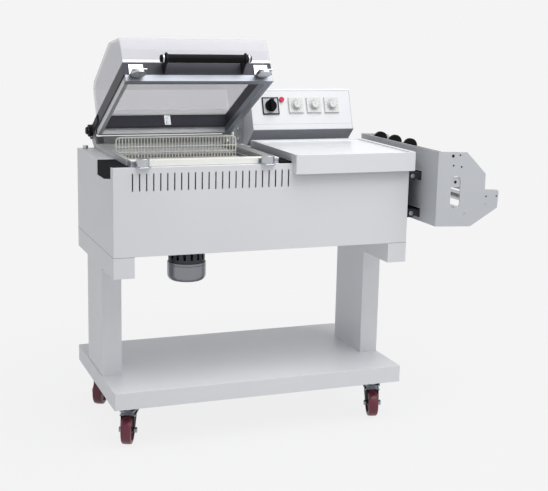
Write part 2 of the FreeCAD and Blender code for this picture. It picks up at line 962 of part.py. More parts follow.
def front_seal_strip():
    """Heat-proof strip over the front jaw, turned down over its front face."""
    y_low, y_high = front_jaw_y()
    cover = 1.2
    z_low = jaw_top - jaw_strip
    top = block((jaw_left, side_jaw_x()[1]), (y_low, y_high), (z_low, jaw_top))
    x_range = (magnet_left + magnet_radius + 3.0, magnet_right - magnet_radius - 3.0)
    skirt = block(x_range, (y_low - cover, y_low), (deck_top + 1.0, jaw_top))
    return top.fuse(skirt).removeSplitter()


def side_seal_strip():
    """Strip along the top of the side jaw."""
    x_low, x_high = side_jaw_x()
    y_range = (front_jaw_y()[1], hinge_y - frame_rear)
    return block((x_low, x_high), y_range, (jaw_top - jaw_strip, jaw_top))


def film_guard_strip():
    """Dark strip between the side jaw and the table."""
    x_low = side_jaw_x()[1] + 1.0
    return block((x_low, table_left), (front_jaw_y()[0] - 10.0, table_back), (deck_top, deck_top + 6.0))


def chamber_seat():
    """Low channel on the deck that the hood's left and rear edges close on."""
    left = hood_left + 2.0
    y_low = front_jaw_y()[1]
    y_high = hinge_y - frame_rear - 3.0
    z_range = (deck_top, jaw_top - seat_gasket)
    along = block((left, left + seat_width), (y_low, y_high), z_range)
    across = block((left, side_jaw_x()[0]), (y_high - seat_width, y_high), z_range)
    inside = casing_sheet
    hollow_left = block((left + inside, left + seat_width - inside), (y_low + inside, y_high - inside), (deck_top - 1, z_range[1] - inside))
    hollow_rear = block(
        (left + inside, side_jaw_x()[0] - inside),
        (y_high - seat_width + inside, y_high - inside),
        (deck_top - 1, z_range[1] - inside),
    )
    return fuse_all([along, across]).cut(hollow_left.fuse(hollow_rear))


def chamber_gasket():
    """Gasket on top of the seat channel."""
    left = hood_left + 2.0
    y_low = front_jaw_y()[1]
    y_high = hinge_y - frame_rear - 3.0
    z_range = (jaw_top - seat_gasket, jaw_top)
    along = block((left, left + seat_width), (y_low, y_high), z_range)
    across = block((left, side_jaw_x()[0]), (y_high - seat_width, y_high), z_range)
    return fuse_all([along, across])


def magnet_brackets():
    """Two small plates from the front jaw that carry the holding magnets."""
    brackets = []
    y_jaw = front_jaw_y()[0]
    half = magnet_radius + 2.0
    y_nose = magnet_y - magnet_radius - 1.0
    ear = 8.0
    for x in (magnet_left, magnet_right):
        corners = [(x - half, y_jaw), (x - half, y_nose + ear), (x - half + ear, y_nose)]
        corners += [(x + half - ear, y_nose), (x + half, y_nose + ear), (x + half, y_jaw)]
        brackets.append(prism_z(corners, (deck_top, deck_top + bracket_plate)))
    return brackets


def magnets():
    """Round electromagnets on their brackets."""
    low = deck_top + bracket_plate
    radius = min(magnet_radius, front_jaw_y()[0] - 1.5 - magnet_y)
    return [rod((x, magnet_y, low), Z_AXIS, radius, magnet_height) for x in (magnet_left, magnet_right)]


# ---------------------------------------------------------------- hood, modelled shut
def shut(s, n):
    """Depth and height of a hood point when the hood is shut."""
    return (hinge_y - s, frame_plane + n)


def hood_block(x_range, s_range, n_range):
    """A box on the hood between limits along s and n."""
    y_high, z_low = shut(s_range[0], n_range[0])
    y_low, z_high = shut(s_range[1], n_range[1])
    return block(x_range, (y_low, y_high), (z_low, z_high))


def hood_profile(corners, x_range):
    """A hood profile of (s, n) or (s, n, radius) corners pushed along X."""
    placed = []
    for corner in corners:
        y, z = shut(corner[0], corner[1])
        placed.append((y, z, corner[2]) if len(corner) > 2 else (y, z))
    return prism_x(placed, x_range)


def shell_corners(inset):
    """Side outline of the clear shell, or of its inside when inset by the wall."""
    bend = max(shell_bend_radius - inset, 1.0)
    base = frame_height
    return [
        (shell_rear + inset, base),
        (shell_rear + inset, shell_rear_top - inset * 0.4, bend),
        (shell_roof_rear[0] + inset * 0.4, shell_roof_rear[1] - inset, bend),
        (shell_roof_front[0] - inset * 0.2, shell_roof_front[1] - inset, bend),
        (shell_front_top[0] - inset, shell_front_top[1] - inset * 0.7, bend),
        (frame_front - inset, shell_front_fold, bend),
        (frame_front - inset, base),
    ]


def hood_shell():
    """Clear folded shell, open underneath."""
    outer = hood_profile(shell_corners(0.0), (hood_left, hood_right))
    inner = hood_profile(shell_corners(shell_wall), (hood_left + shell_wall, hood_right - shell_wall))
    return outer.cut(inner)


def hood_frame():
    """Rectangular carrying frame around the hood's mouth."""
    outer = hood_block((hood_left, hood_right), (frame_rear, frame_front), (0, frame_height))
    window = hood_block(
        (hood_left + frame_side_bar, hood_right - frame_side_bar),
        (frame_rear + frame_end_bar, frame_front - frame_end_bar),
        (-1, frame_height + 1),
    )
    return outer.cut(window)


def upper_jaw():
    """L-shaped sealing bar under the frame, with the sealing wire standing on its face."""
    left = hood_left + 4.0
    right = hood_right + 2.0
    low = -upper_jaw_height
    front = hood_block((left, right), (frame_front - upper_jaw_width, frame_front), (low, 0))
    side = hood_block((right - upper_jaw_width, right), (frame_rear, frame_front), (low, 0))
    wire = wire_width / 2.0
    s_wire = frame_front - upper_jaw_width / 2.0
    x_wire = right - upper_jaw_width / 2.0
    n_wire = (low - wire_height, low)
    wire_front = hood_block((left + 6.0, x_wire + wire), (s_wire - wire, s_wire + wire), n_wire)
    wire_side = hood_block((x_wire - wire, x_wire + wire), (frame_rear + 6.0, s_wire), n_wire)
    return fuse_all([front, side, wire_front, wire_side])


def hood_skirt():
    """Closing edge under the frame's left and rear bars."""
    left = hood_left + 4.0
    width = seat_width - 4.0
    rear = frame_rear + 5.0
    along = hood_block((left, left + width), (rear, frame_front - upper_jaw_width), (-upper_jaw_height, 0))
    across = hood_block(
        (left, hood_right + 2.0 - upper_jaw_width), (rear, rear + width), (-upper_jaw_height, 0)
    )
    return fuse_all([along, across])


def armature_brackets():
    """Two bright angles on the frame's front that carry the armature discs."""
    half = armature_radius
    pieces = []
    for x in (magnet_left, magnet_right):
        n_low = armature_low() + armature_height
        upright = hood_block((x - half, x + half), (frame_front, frame_front + bracket_plate), (n_low, frame_height - 6.0))
        s_end = hinge_y - magnet_y + armature_radius * 0.9
        ledge = hood_block((x - half, x + half), (frame_front, s_end), (n_low, n_low + bracket_plate))
        pieces.append(upright.fuse(ledge).removeSplitter())
    return pieces


def armature_low():
    """Height of the armature faces over the frame plane, just clear of the magnets."""
    return deck_top + bracket_plate + magnet_height + part_gap - frame_plane


def armature_discs():
    """Steel discs that land on the magnets when the hood shuts."""
    z = frame_plane + armature_low()
    return [rod((x, magnet_y, z), Z_AXIS, armature_radius, armature_height) for x in (magnet_left, magnet_right)]


def handle_brackets():
    """Two dark arms from the frame's front to the grip."""
    pieces = []
    reach = grip_radius + 3.0
    y, z = shut(grip_s, grip_n)
    for x in (grip_left + grip_bracket_inset, grip_right - grip_bracket_inset - grip_bracket_sheet):
        arm = hood_profile(
            [
                (frame_front, 3.0),
                (frame_front, frame_height - 2.0),
                (grip_s - grip_radius * 0.6, grip_n + reach),
                (grip_s + reach * 0.5, grip_n + reach),
                (grip_s + reach, grip_n + reach * 0.5),
                (grip_s + reach, grip_n - reach * 0.5),
                (grip_s + reach * 0.5, grip_n - reach),
                (grip_s - grip_radius * 0.6, grip_n - reach),
            ],
            (x, x + grip_bracket_sheet),
        )
        pieces.append(arm.cut(rod((x - 1, y, z), X_AXIS, grip_radius * 0.5, grip_bracket_sheet + 2)))
    return group(pieces)


def handle_grip():
    """Grip tube between the brackets, with stub ends through them."""
    y, z = shut(grip_s, grip_n)
    inner_left = grip_left + grip_bracket_inset + grip_bracket_sheet
    inner_right = grip_right - grip_bracket_inset - grip_bracket_sheet
    tube = rod((inner_left, y, z), X_AXIS, grip_radius, inner_right - inner_left)
    core = rod((grip_left + 8.0, y, z), X_AXIS, grip_radius * 0.5, grip_right - grip_left - 16.0)
    caps = []
    for x in (grip_left, grip_right - grip_bracket_inset):
        caps.append(rod((x, y, z), X_AXIS, grip_radius, grip_bracket_inset))
    return fuse_all([tube, core] + caps)


def catch_plate():
    """Small bright plate with two screws on the frame's rear bar."""
    middle = (hood_left + hood_right) / 2.0 + catch_offset
    s = frame_rear + frame_end_bar
    half = catch_width / 2.0
    plate = hood_block((middle - half, middle + half), (s, s + 2.0), (2.0, frame_height - 2.0))
    screws = []
    for n in (11.0, frame_height - 11.0):
        y, z = shut(s + 2.0, n)
        screws.append(hex_bolt((middle, y, z), Y_AXIS, screw_radius, 2.0, 0.0))
    return fuse_all([plate] + screws)


def arm_boss_x():
    """X ranges of the two hinge bosses, outside the frame."""
    return [
        (hood_left - arm_boss_length, hood_left),
        (hood_right, hood_right + arm_boss_length),
    ]


def stop_pin_place():
    """Centre of the stop pin with the hood open: it carries the arm's tail."""
    s = -stop_pin_reach
    n = hinge_to_frame_plane - arm_boss_radius * 0.62 - part_gap - stop_pin_radius
    turn = math.radians(hood_open_angle)
    rise = n - hinge_to_frame_plane
    y = hinge_y - s * math.cos(turn) + rise * math.sin(turn)
    z = hinge_z + s * math.sin(turn) + rise * math.cos(turn)
    return (y, z)


def hood_arms():
    """Side arms with their hinge bosses and stop tails."""
    pieces = []
    half = arm_boss_radius * 0.62
    centre_n = hinge_to_frame_plane
    y, z = shut(0.0, centre_n)
    for side, boss_x in zip((-1, 1), arm_boss_x()):
        plate_x = (boss_x[1] - arm_sheet, boss_x[1]) if side < 0 else (boss_x[0], boss_x[0] + arm_sheet)
        plate = hood_block(plate_x, (-arm_tail, arm_length), (centre_n - half, centre_n + half))
        boss = rod((boss_x[0], y, z), X_AXIS, arm_boss_radius, boss_x[1] - boss_x[0])
        bore = rod((boss_x[0] - 1, y, z), X_AXIS, hinge_shaft_radius + running_gap, boss_x[1] - boss_x[0] + 2)
        pieces.append(plate.fuse(boss).removeSplitter().cut(bore))
    return group(pieces)


def open_hood(shape):
    """Raise a hood piece from the shut position to where the springs hold it."""
    shape.rotate(V(0, hinge_y, hinge_z), X_AXIS, -hood_open_angle)
    return shape


# ---------------------------------------------------------------- hinge, fixed side
def bracket_x():
    """X ranges of the hinge brackets: left one inside its boss, right one outside."""
    left = hood_left + bracket_gap
    right = hood_right + arm_boss_length + bracket_gap
    return [(left, left + bracket_sheet), (right, right + bracket_sheet)]


def hinge_brackets():
    """Upright plates on the deck with a shaft head and a stop pin."""
    pieces = []
    head = bracket_head_radius
    pin_y, pin_z = stop_pin_place()
    pin_head = stop_pin_radius + 6.0
    arms = arm_boss_x()
    for index, x_range in enumerate(bracket_x()):
        width = x_range[1] - x_range[0]
        foot = prism_x(
            [
                (bracket_foot_front, deck_top),
                (casing_depth - casing_sheet, deck_top),
                (pin_y + pin_head, pin_z - pin_head),
                (pin_y + pin_head, pin_z + pin_head),
                (hinge_y, hinge_z + head * 0.2),
                (hinge_y - head * 0.8, hinge_z - head * 0.5),
            ],
            x_range,
        )
        cap = rod((x_range[0], hinge_y, hinge_z), X_AXIS, head, width)
        boss_x = arms[index]
        if index == 0:
            pin_x = (boss_x[1] - arm_sheet, x_range[1])
        else:
            pin_x = (boss_x[0], x_range[1])
        pin = rod((pin_x[0], pin_y, pin_z), X_AXIS, stop_pin_radius, pin_x[1] - pin_x[0])
        bore = rod((x_range[0] - 1, hinge_y, hinge_z), X_AXIS, hinge_shaft_radius + running_gap / 2, width + 2)
        plate = fuse_all([foot, cap, pin]).cut(bore)
        base = block(
            (x_range[0], x_range[1] + 18.0) if index == 0 else (x_range[0] - 6.0, x_range[1] + 12.0),
            (bracket_foot_front, casing_depth - casing_sheet),
            (deck_top, deck_top + 4.0),
        )
        pieces.append(plate.fuse(base).removeSplitter())
    return pieces


def hinge_shaft():
    """Shaft through both brackets and both bosses, with a nut at each end."""
    start = arm_boss_x()[0][0] - 2.0
    end = bracket_x()[1][1] + 2.0
    shaft = rod((start, hinge_y, hinge_z), X_AXIS, hinge_shaft_radius, end - start)
    left = hex_bolt((start, hinge_y, hinge_z), X_AXIS, hinge_shaft_radius * 0.8, 6.0, 0.0)
    right = hex_bolt((end, hinge_y, hinge_z), X_AXIS * -1.0, hinge_shaft_radius * 0.8, 8.0, 0.0)
    return fuse_all([shaft, left, right])


def counter_springs():
    """Two wound torsion springs round the shaft, drawn as their outer sleeves."""
    left_start = bracket_x()[0][1]
    right_end = arm_boss_x()[1][0]
    sleeves = []
    for start in (left_start, right_end - spring_length - 1.0):
        sleeves.append(
            washer((start, hinge_y, hinge_z), X_AXIS, spring_radius, hinge_shaft_radius + part_gap, spring_length)
        )
    return group(sleeves)


def rear_rail():
    """Folded cover along the deck's rear edge, between the hinge brackets."""
    left = bracket_x()[0][1] + 20.0
    right = hood_right - 3.0
    front = hinge_y - frame_rear + 8.0
    back = casing_depth - casing_sheet
    low = deck_top
    high = hinge_z - spring_radius - 3.0
    t = casing_sheet
    return prism_x(
        [
            (front, low),
            (front, high),
            (back, high),
            (back, high - 10.0),
            (back - t, high - 10.0),
            (back - t, high - t),
            (front + t, high - t),
            (front + t, low + t),
            (front + 14.0, low + t),
            (front + 14.0, low),
        ],
        (left, right),
    )


def deck_bolt():
    """Hexagon bolt at the rear left of the deck."""
    return hex_bolt((deck_bolt_x, deck_bolt_y, deck_top), Z_AXIS * -1.0, deck_bolt_radius, deck_bolt_height, 0.0)


# ---------------------------------------------------------------- console
def panel_point(x, v, w):
    """A point on the sloping console face: x across, v up the face, w out of it."""
    rise = console_top_front[1] - console_nose[1]
    run = console_top_front[0] - console_nose[0]
    length = math.hypot(rise, run)
    up = V(0, run / length, rise / length)
    out = V(0, -rise / length, run / length)
    return V(x, console_nose[0], console_nose[1]) + up * v + out * w


def panel_direction():
    """Outward normal of the sloping console face."""
    return panel_point(0, 0, 1) - panel_point(0, 0, 0)


def on_panel(shape, x, v, w):
    """Stand a shape drawn at the origin, with +Z outward and +Y up, on the face."""
    lean = math.degrees(math.atan2(console_top_front[0] - console_nose[0], console_top_front[1] - console_nose[1]))
    shape.rotate(V(0, 0, 0), X_AXIS, 90.0 - lean)
    shape.translate(panel_point(x, v, w))
    return shape


def console_corners(inset):
    """Side outline of the console."""
    bend = max(console_bend - inset, 0.5)
    rear = console_back
    return [
        (console_nose[0] + inset, console_nose[1] + inset * 0.3, bend),
        (console_top_front[0] + inset * 0.7, console_top_front[1] - inset, bend),
        (rear - inset, console_top_front[1] - inset, bend),
        (rear - inset, deck_top + inset),
        (console_foot_front + inset * 1.2, deck_top + inset),
    ]


def console_case():
    """Folded console case with a sloping face, and its rear cover."""
    t = console_sheet
    outer = prism_x(console_corners(0.0), (console_left, casing_length))
    inner = prism_x(console_corners(t), (console_left + t, casing_length - t))
    rear_opening = block(
        (console_left + 12.0, casing_length - 12.0),
        (console_back - t - 1, console_back + 1),
        (deck_top + 14.0, console_top_front[1] - 14.0),
    )
    cover = block(
        (console_left + 4.0, casing_length - 4.0),
        (console_back, console_back + t),
        (deck_top + 6.0, console_top_front[1] - 6.0),
    )
    return group([cut_all(outer, [inner, rear_opening]), cover])


def control_bezels():
    """Square plate of the main switch and the three timer and temperature modules."""
    half = switch_plate / 2.0
    plates = [on_panel(block((-half, half), (-half, half), (0, switch_plate_depth)), switch_x, switch_v, 0.0)]
    half = dial_plate / 2.0
    for k in range(3):
        plate = block((-half, half), (-half, half), (0, dial_plate_depth))
        plates.append(on_panel(plate, dial_first_x + k * dial_pitch, dial_v, 0.0))
    return group(plates)


def switch_knob():
    """Rotary switch knob: skirt disc and a raised finger bar."""
    skirt = rod((0, 0, 0), Z_AXIS, switch_skirt, switch_skirt_height)
    bar = block((-switch_bar / 2.0, switch_bar / 2.0), (-switch_skirt, switch_skirt), (0, switch_height))
    return on_panel(fuse_all([skirt, bar]), switch_x, switch_v, switch_plate_depth + part_gap)


def indicator_lamp():
    """Pilot lamp lens."""
    return on_panel(rod((0, 0, 0), Z_AXIS, lamp_radius, lamp_height), lamp_x, lamp_v, 0.0)


def dial_knob(index):
    """One fluted dial knob with a pointer ridge."""
    turn = 2.0 * math.pi / dial_flutes
    rim = [(dial_radius * math.sin(k * turn), dial_radius * math.cos(k * turn)) for k in range(dial_flutes)]
    body = prism_z(rim, (0, dial_height))
    ridge = block((-1.5, 1.5), (0.0, dial_radius * 0.8), (dial_height - 1.0, dial_height + 2.0))
    return on_panel(body.fuse(ridge), dial_first_x + index * dial_pitch, dial_v, dial_plate_depth + part_gap)


# ---------------------------------------------------------------- table
def work_table():
    """Folded tray top with deep front and right skirts and a raised rim."""
    t = table_sheet
    x = (table_left, table_right)
    y = (table_front, table_back)
    skirt_low = table_top - table_skirt
    outer = block(x, y, (skirt_low, table_top))
    uprights = [
        e
        for e in outer.Edges
        if abs(e.tangentAt(e.FirstParameter).z) > 0.9 and abs(e.CenterOfMass.y - table_front) < 0.01
    ]
    outer = outer.makeFillet(3.0, uprights)
    inside = block((x[0] + t, x[1] - t), (y[0] + t, y[1] - t), (skirt_low - 1, table_top - table_recess - t))
    deck_room = block((x[0] - 1, casing_length + 1.0), (0.0 - part_gap, y[1] + 1), (skirt_low - 1, deck_top))
    recess = block(
        (x[0] + table_rim, x[1] - table_rim),
        (y[0] - 1, y[1] - table_rim),
        (table_top - table_recess, table_top + 1),
    )
    lip = block(x, (y[0], y[0] + 3.0), (table_top - table_recess, table_top - 1.0))
    rest = cut_all(outer, [inside, deck_room, recess])
    tray = rest.fuse(lip.common(outer)).removeSplitter()
    return group([tray] + table_supports())


def table_supports():
    """Two hat rails on the deck that carry the table."""
    t = casing_sheet
    low = deck_top
    high = table_top - table_recess - table_sheet
    rails = []
    for x in (table_left + table_rail_insets[0], casing_length - table_rail_insets[1]):
        outer = block((x, x + support_width), (table_rail_front, table_back - table_rail_gap), (low, high))
        inner = block((x + t, x + support_width - t), (table_rail_front - 1, table_back - table_rail_gap + 1), (low - 1, high - t))
        rails.append(outer.cut(inner))
    return rails


# ---------------------------------------------------------------- film rack
def rack_x():
    """X of the rack's side plate, outside the casing by the rail gap."""
    return casing_length + rack_gap


def rack_outline():
    """End-plate outline: a square top with a stepped nose for the film roll."""
    x = rack_x()
    corner = 6.0
    return [
        (x, rack_low + 5.0),
        (rack_toe_x, rack_low),
        (rack_nose_x - 3.0, nose_low),
        (rack_nose_x, nose_high - 2.0 - corner),
        (rack_nose_x - corner, nose_high - 2.0),
        (shoulder_x, nose_high + 1.0),
        (shoulder_x, shoulder_z),
        (rack_mid_x, rack_high - 4.0),
        (x, rack_high),
    ]


def film_rack_frame():
    """Folded rack: side plate on the runners, two end plates and the tie bar."""
    t = rack_sheet
    x = rack_x()
    back = rack_front + rack_depth
    front_plate = prism_y(rack_outline(), (rack_front, rack_front + t))
    rear_plate = prism_y(rack_outline(), (back - t, back))
    side = block((x, x + t), (rack_front, back), (rack_low + 5.0, rack_high))
    middle = tie_bar_z()
    half = tie_bar_height / 2.0
    tie = block((rack_nose_x - tie_bar_inset, rack_nose_x - 6.0), (rack_front + t, back - t), (middle - half, middle + half))
    tools = []
    for y_low in (rack_front - 1, back - t - 1):
        tools.append(slot_y(slot_x, slot_low, slot_high, slot_width, (y_low, y_low + t + 2)))
        tools.append(rod((perforator_x, y_low, perforator_z), Y_AXIS, perforator_shaft + running_gap, t + 2))
        for place in roller_places.values():
            tools.append(rod((place[0], y_low, place[1]), Y_AXIS, journal_radius + running_gap, t + 2))
    frame = cut_all(fuse_all([front_plate, rear_plate, side, tie]), tools)
    return group([frame] + tension_brackets() + rack_runners())


def tie_bar_z():
    """Height of the flat bar across the rack's nose."""
    return (nose_low + nose_high) / 2.0 + 8.0


def tension_brackets():
    """Two ears inside the end plates that hold the tension roller."""
    t = rack_sheet
    back = rack_front + rack_depth
    reach = slot_width / 2.0 + 16.0
    ears = []
    for y_low in (rack_front + t, back - 2 * t):
        ear = block((slot_x - reach, slot_x + reach), (y_low, y_low + t), (tension_z - 16.0, tension_z + 16.0))
        hole = rod((slot_x, y_low - 1, tension_z), Y_AXIS, journal_radius + running_gap, t + 2)
        ears.append(ear.cut(hole))
    return ears


def roller(x, z, radius, inset):
    """A film roller between the end plates, with a journal at each end."""
    inner_low = rack_front + rack_sheet + inset
    inner_high = rack_front + rack_depth - rack_sheet - inset
    gap = 1.0
    body = rod((x, inner_low + gap, z), Y_AXIS, radius, inner_high - inner_low - 2 * gap)
    journal = rod((x, inner_low - rack_sheet, z), Y_AXIS, journal_radius, inner_high - inner_low + 2 * rack_sheet)
    return body.fuse(journal).removeSplitter()


def perforator():
    """Punching shaft with three soft wheels that stand over the side plate."""
    pieces = [rod((perforator_x, rack_front, perforator_z), Y_AXIS, perforator_shaft, rack_depth)]
    for k in range(3):
        y = perforator_first_y + k * perforator_pitch - perforator_width / 2.0
        pieces.append(rod((perforator_x, y, perforator_z), Y_AXIS, perforator_wheel, perforator_width))
    return fuse_all(pieces)


def rack_rails():
    """Fixed C rails on the casing's right side."""
    rails = []
    for z in (rail_low_z, rail_high_z):
        half = rail_height / 2.0
        x = casing_length
        y_range = (rail_front, rail_front + rail_length)
        outer = block((x, x + rack_gap * 0.5), y_range, (z - half, z + half))
        inner = block((x + rail_wall, x + rack_gap), (y_range[0] - 1, y_range[1] + 1), (z - half + rail_wall, z + half - rail_wall))
        rails.append(outer.cut(inner))
    return group(rails)


def rack_runners():
    """T runners on the rack's side plate that slide in the rails."""
    runners = []
    for z in (rail_low_z, rail_high_z):
        half = rail_height / 2.0 - rail_wall - rack_travel_gap
        y_range = (rail_front + 2.0, rail_front + rail_length - runner_end_gap)
        inner = block((casing_length + rail_wall + rack_travel_gap, rack_x()), y_range, (z - half, z + half))
        flange = block((rack_x() - 4.0, rack_x()), y_range, (z - half - 5.0, z + half + 5.0))
        runners.append(inner.fuse(flange).removeSplitter())
    return runners


# ---------------------------------------------------------------- assembly
def build():
    """Every node of the machine, by name, still in modelling coordinates."""
    parts = {}
    parts["base_shelf"] = base_shelf()
    parts["left_leg"] = leg(leg_inset, 0.0)
    parts["right_leg"] = leg(casing_length - leg_inset - leg_width, casing_length - beam_width)
    centres = caster_centres()
    parts["caster_plates"] = group([caster_top(c) for c in centres.values()])
    for name in centres:
        parts["caster_fork_" + name] = place_caster(fork(), name)
        parts["caster_wheel_" + name] = place_caster(wheel(), name)
    parts["floor_pan"] = group([floor_pan(), motor_cage(), fan_motor()])
    parts["front_panel"] = front_panel()
    parts["left_side_panel"] = side_panel(0.0, True)
    parts["right_side_panel"] = side_panel(casing_length - casing_sheet, False)
    parts["rear_panel"] = rear_panel()
    parts["deck_plate"] = deck_plate()
    parts["corner_guard"] = corner_guard()
    parts["supply_gland"] = supply_gland()
    parts["chamber_tub"] = chamber_tub()
    parts["heater_elements"] = group(heater_elements())
    parts["air_baffle"] = air_baffle()
    parts["basket"] = basket()
    parts["fan_impeller"] = fan_impeller()
    parts["lower_jaw_front"] = lower_jaw_front()
    parts["lower_jaw_side"] = lower_jaw_side()
    parts["jaw_strips"] = group([front_seal_strip(), side_seal_strip()])
    parts["film_guard_strip"] = film_guard_strip()
    parts["chamber_seat"] = chamber_seat()
    parts["chamber_gasket"] = chamber_gasket()
    parts["holding_magnets"] = group(magnets() + magnet_brackets())
    parts["hinge_brackets"] = group(hinge_brackets() + [deck_bolt()])
    parts["hinge_shaft"] = hinge_shaft()
    parts["counter_springs"] = counter_springs()
    parts["rear_rail"] = rear_rail()
    parts["hood_shell"] = open_hood(hood_shell())
    parts["hood_frame"] = open_hood(hood_frame())
    parts["hood_arms"] = open_hood(hood_arms())
    parts["upper_jaw"] = open_hood(upper_jaw())
    parts["hood_skirt"] = open_hood(hood_skirt())
    parts["hood_fittings"] = open_hood(group(armature_brackets() + armature_discs() + [catch_plate()]))
    parts["handle_brackets"] = open_hood(handle_brackets())
    parts["handle_grip"] = open_hood(handle_grip())
    parts["console_case"] = console_case()
    parts["control_bezels"] = control_bezels()
    parts["switch_knob"] = switch_knob()
    parts["indicator_lamp"] = indicator_lamp()
    for index, name in enumerate(("seal_time_knob", "shrink_time_knob", "temperature_knob")):
        parts[name] = dial_knob(index)
    parts["work_table"] = work_table()
    parts["rack_rails"] = rack_rails()
    parts["film_rack_frame"] = film_rack_frame()
    for name, place in roller_places.items():
        parts[name] = roller(place[0], place[1], roller_radius, 0.0)
    parts["tension_roller"] = roller(slot_x, tension_z, tension_roller_radius, rack_sheet)
    parts["perforator"] = perforator()
    return parts


def origin_shift(parts):
    """Move from modelling coordinates to the middle of the overall box, at the floor."""
    box = Part.makeCompound(list(parts.values())).BoundBox
    return V(-(box.XMin + box.XMax) / 2.0, -(box.YMin + box.YMax) / 2.0, -box.ZMin)


if __name__ == "__main__":
    nodes = build()
    shift = origin_shift(nodes)
    os.makedirs("parts", exist_ok=True)
    for node_name, node_shape in nodes.items():
        node_shape.translate(shift)
        node_shape.exportStep("parts/" + node_name + ".step")
    print("nodes", len(nodes), "shift", shift)
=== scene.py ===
import json
import math

import bmesh
import bpy
from mathutils import Matrix, Vector

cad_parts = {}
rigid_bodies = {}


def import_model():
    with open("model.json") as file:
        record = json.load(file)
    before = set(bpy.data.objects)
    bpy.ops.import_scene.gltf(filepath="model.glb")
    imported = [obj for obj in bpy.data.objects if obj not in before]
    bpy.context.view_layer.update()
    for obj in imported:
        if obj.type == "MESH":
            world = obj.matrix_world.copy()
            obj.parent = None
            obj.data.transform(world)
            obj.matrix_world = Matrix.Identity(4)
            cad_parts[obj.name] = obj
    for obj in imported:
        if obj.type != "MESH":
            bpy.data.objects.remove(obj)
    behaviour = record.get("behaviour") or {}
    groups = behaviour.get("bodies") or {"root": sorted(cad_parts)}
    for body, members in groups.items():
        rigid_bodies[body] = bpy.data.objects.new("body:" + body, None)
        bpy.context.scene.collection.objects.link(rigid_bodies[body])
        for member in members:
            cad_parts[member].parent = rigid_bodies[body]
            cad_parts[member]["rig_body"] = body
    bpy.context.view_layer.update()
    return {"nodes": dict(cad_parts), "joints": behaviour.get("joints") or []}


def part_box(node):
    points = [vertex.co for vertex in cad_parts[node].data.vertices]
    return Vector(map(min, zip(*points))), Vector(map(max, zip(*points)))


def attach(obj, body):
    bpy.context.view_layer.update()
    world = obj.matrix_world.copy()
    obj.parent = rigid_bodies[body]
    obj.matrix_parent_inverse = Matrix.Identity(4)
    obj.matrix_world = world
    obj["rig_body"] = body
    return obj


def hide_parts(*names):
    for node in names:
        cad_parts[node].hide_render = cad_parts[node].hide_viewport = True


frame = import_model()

# ------------------------------------------------------------------------------ camera and studio
# A long lens stands to the operator's left, a little above the table. The studio is a
# pale seamless floor and backdrop, one broad soft lamp overhead and a weaker one in front.
scene = bpy.context.scene
scene.view_settings.view_transform = "Standard"
camera_turn = math.radians(-21.18)
camera_tilt = math.radians(11.53)
camera_roll = math.radians(1.28)
ahead = Vector(
    (
        -math.sin(camera_turn) * math.cos(camera_tilt),
        math.cos(camera_turn) * math.cos(camera_tilt),
        -math.sin(camera_tilt),
    )
)
level = ahead.cross(Vector((0, 0, 1))).normalized()
upright = level.cross(ahead)
right = level * math.cos(camera_roll) + upright * math.sin(camera_roll)
above = upright * math.cos(camera_roll) - level * math.sin(camera_roll)
front_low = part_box("front_panel")[0]
camera_left, camera_ahead, camera_height = 0.7092, 3.1417, 1.3026
camera_place = Vector((front_low.x - camera_left, front_low.y - camera_ahead, camera_height))
camera_data = bpy.data.cameras.new("studio_camera")
camera_data.lens = 73.2
camera_data.sensor_width = 36.0
camera_data.shift_x = -0.0029
camera_data.shift_y = -0.0015
camera = bpy.data.objects.new("studio_camera", camera_data)
scene.collection.objects.link(camera)
camera.matrix_world = Matrix(
    (
        (right.x, above.x, -ahead.x, camera_place.x),
        (right.y, above.y, -ahead.y, camera_place.y),
        (right.z, above.z, -ahead.z, camera_place.z),
        (0, 0, 0, 1),
    )
)
scene.camera = camera


def colour(code):
    """A linear colour from an sRGB hex value."""
    channels = [int(code[i : i + 2], 16) / 255 for i in (1, 3, 5)]
    linear = [c / 12.92 if c <= 0.04045 else ((c + 0.055) / 1.055) ** 2.4 for c in channels]
    return (*linear, 1.0)


def add(tree, kind, values=None, links=None, **settings):
    """Adds a node, sets its attributes and input values, and links its inputs."""
    made = tree.nodes.new(kind)
    for name, value in settings.items():
        setattr(made, name, value)
    for name, value in (values or {}).items():
        made.inputs[name].default_value = value
    for name, socket in (links or {}).items():
        tree.links.new(socket, made.inputs[name])
    return made


def in_view(tree):
    """A socket that is 1 where the backdrop is looked at, also in a gloss or through a sheet."""
    path = add(tree, "ShaderNodeLightPath").outputs
    eyes = {0: path["Is Camera Ray"], 1: path["Is Glossy Ray"]}
    either = add(tree, "ShaderNodeMath", links=eyes, operation="MAXIMUM")
    eyes = {0: either.outputs[0], 1: path["Is Transmission Ray"]}
    return add(tree, "ShaderNodeMath", links=eyes, operation="MAXIMUM").outputs[0]


backdrop = colour("#f4f4f4")
world = bpy.data.worlds.new("studio")
scene.world = world
world.use_nodes = True
sky = world.node_tree
sky.nodes.clear()
fill = add(sky, "ShaderNodeBackground", {"Color": colour("#f2f4f8"), "Strength": 0.50})
plain = add(sky, "ShaderNodeBackground", {"Color": backdrop, "Strength": 1.0})
looks = {0: in_view(sky), 1: fill.outputs[0], 2: plain.outputs[0]}
both = add(sky, "ShaderNodeMixShader", links=looks)
add(sky, "ShaderNodeOutputWorld", links={"Surface": both.outputs[0]})

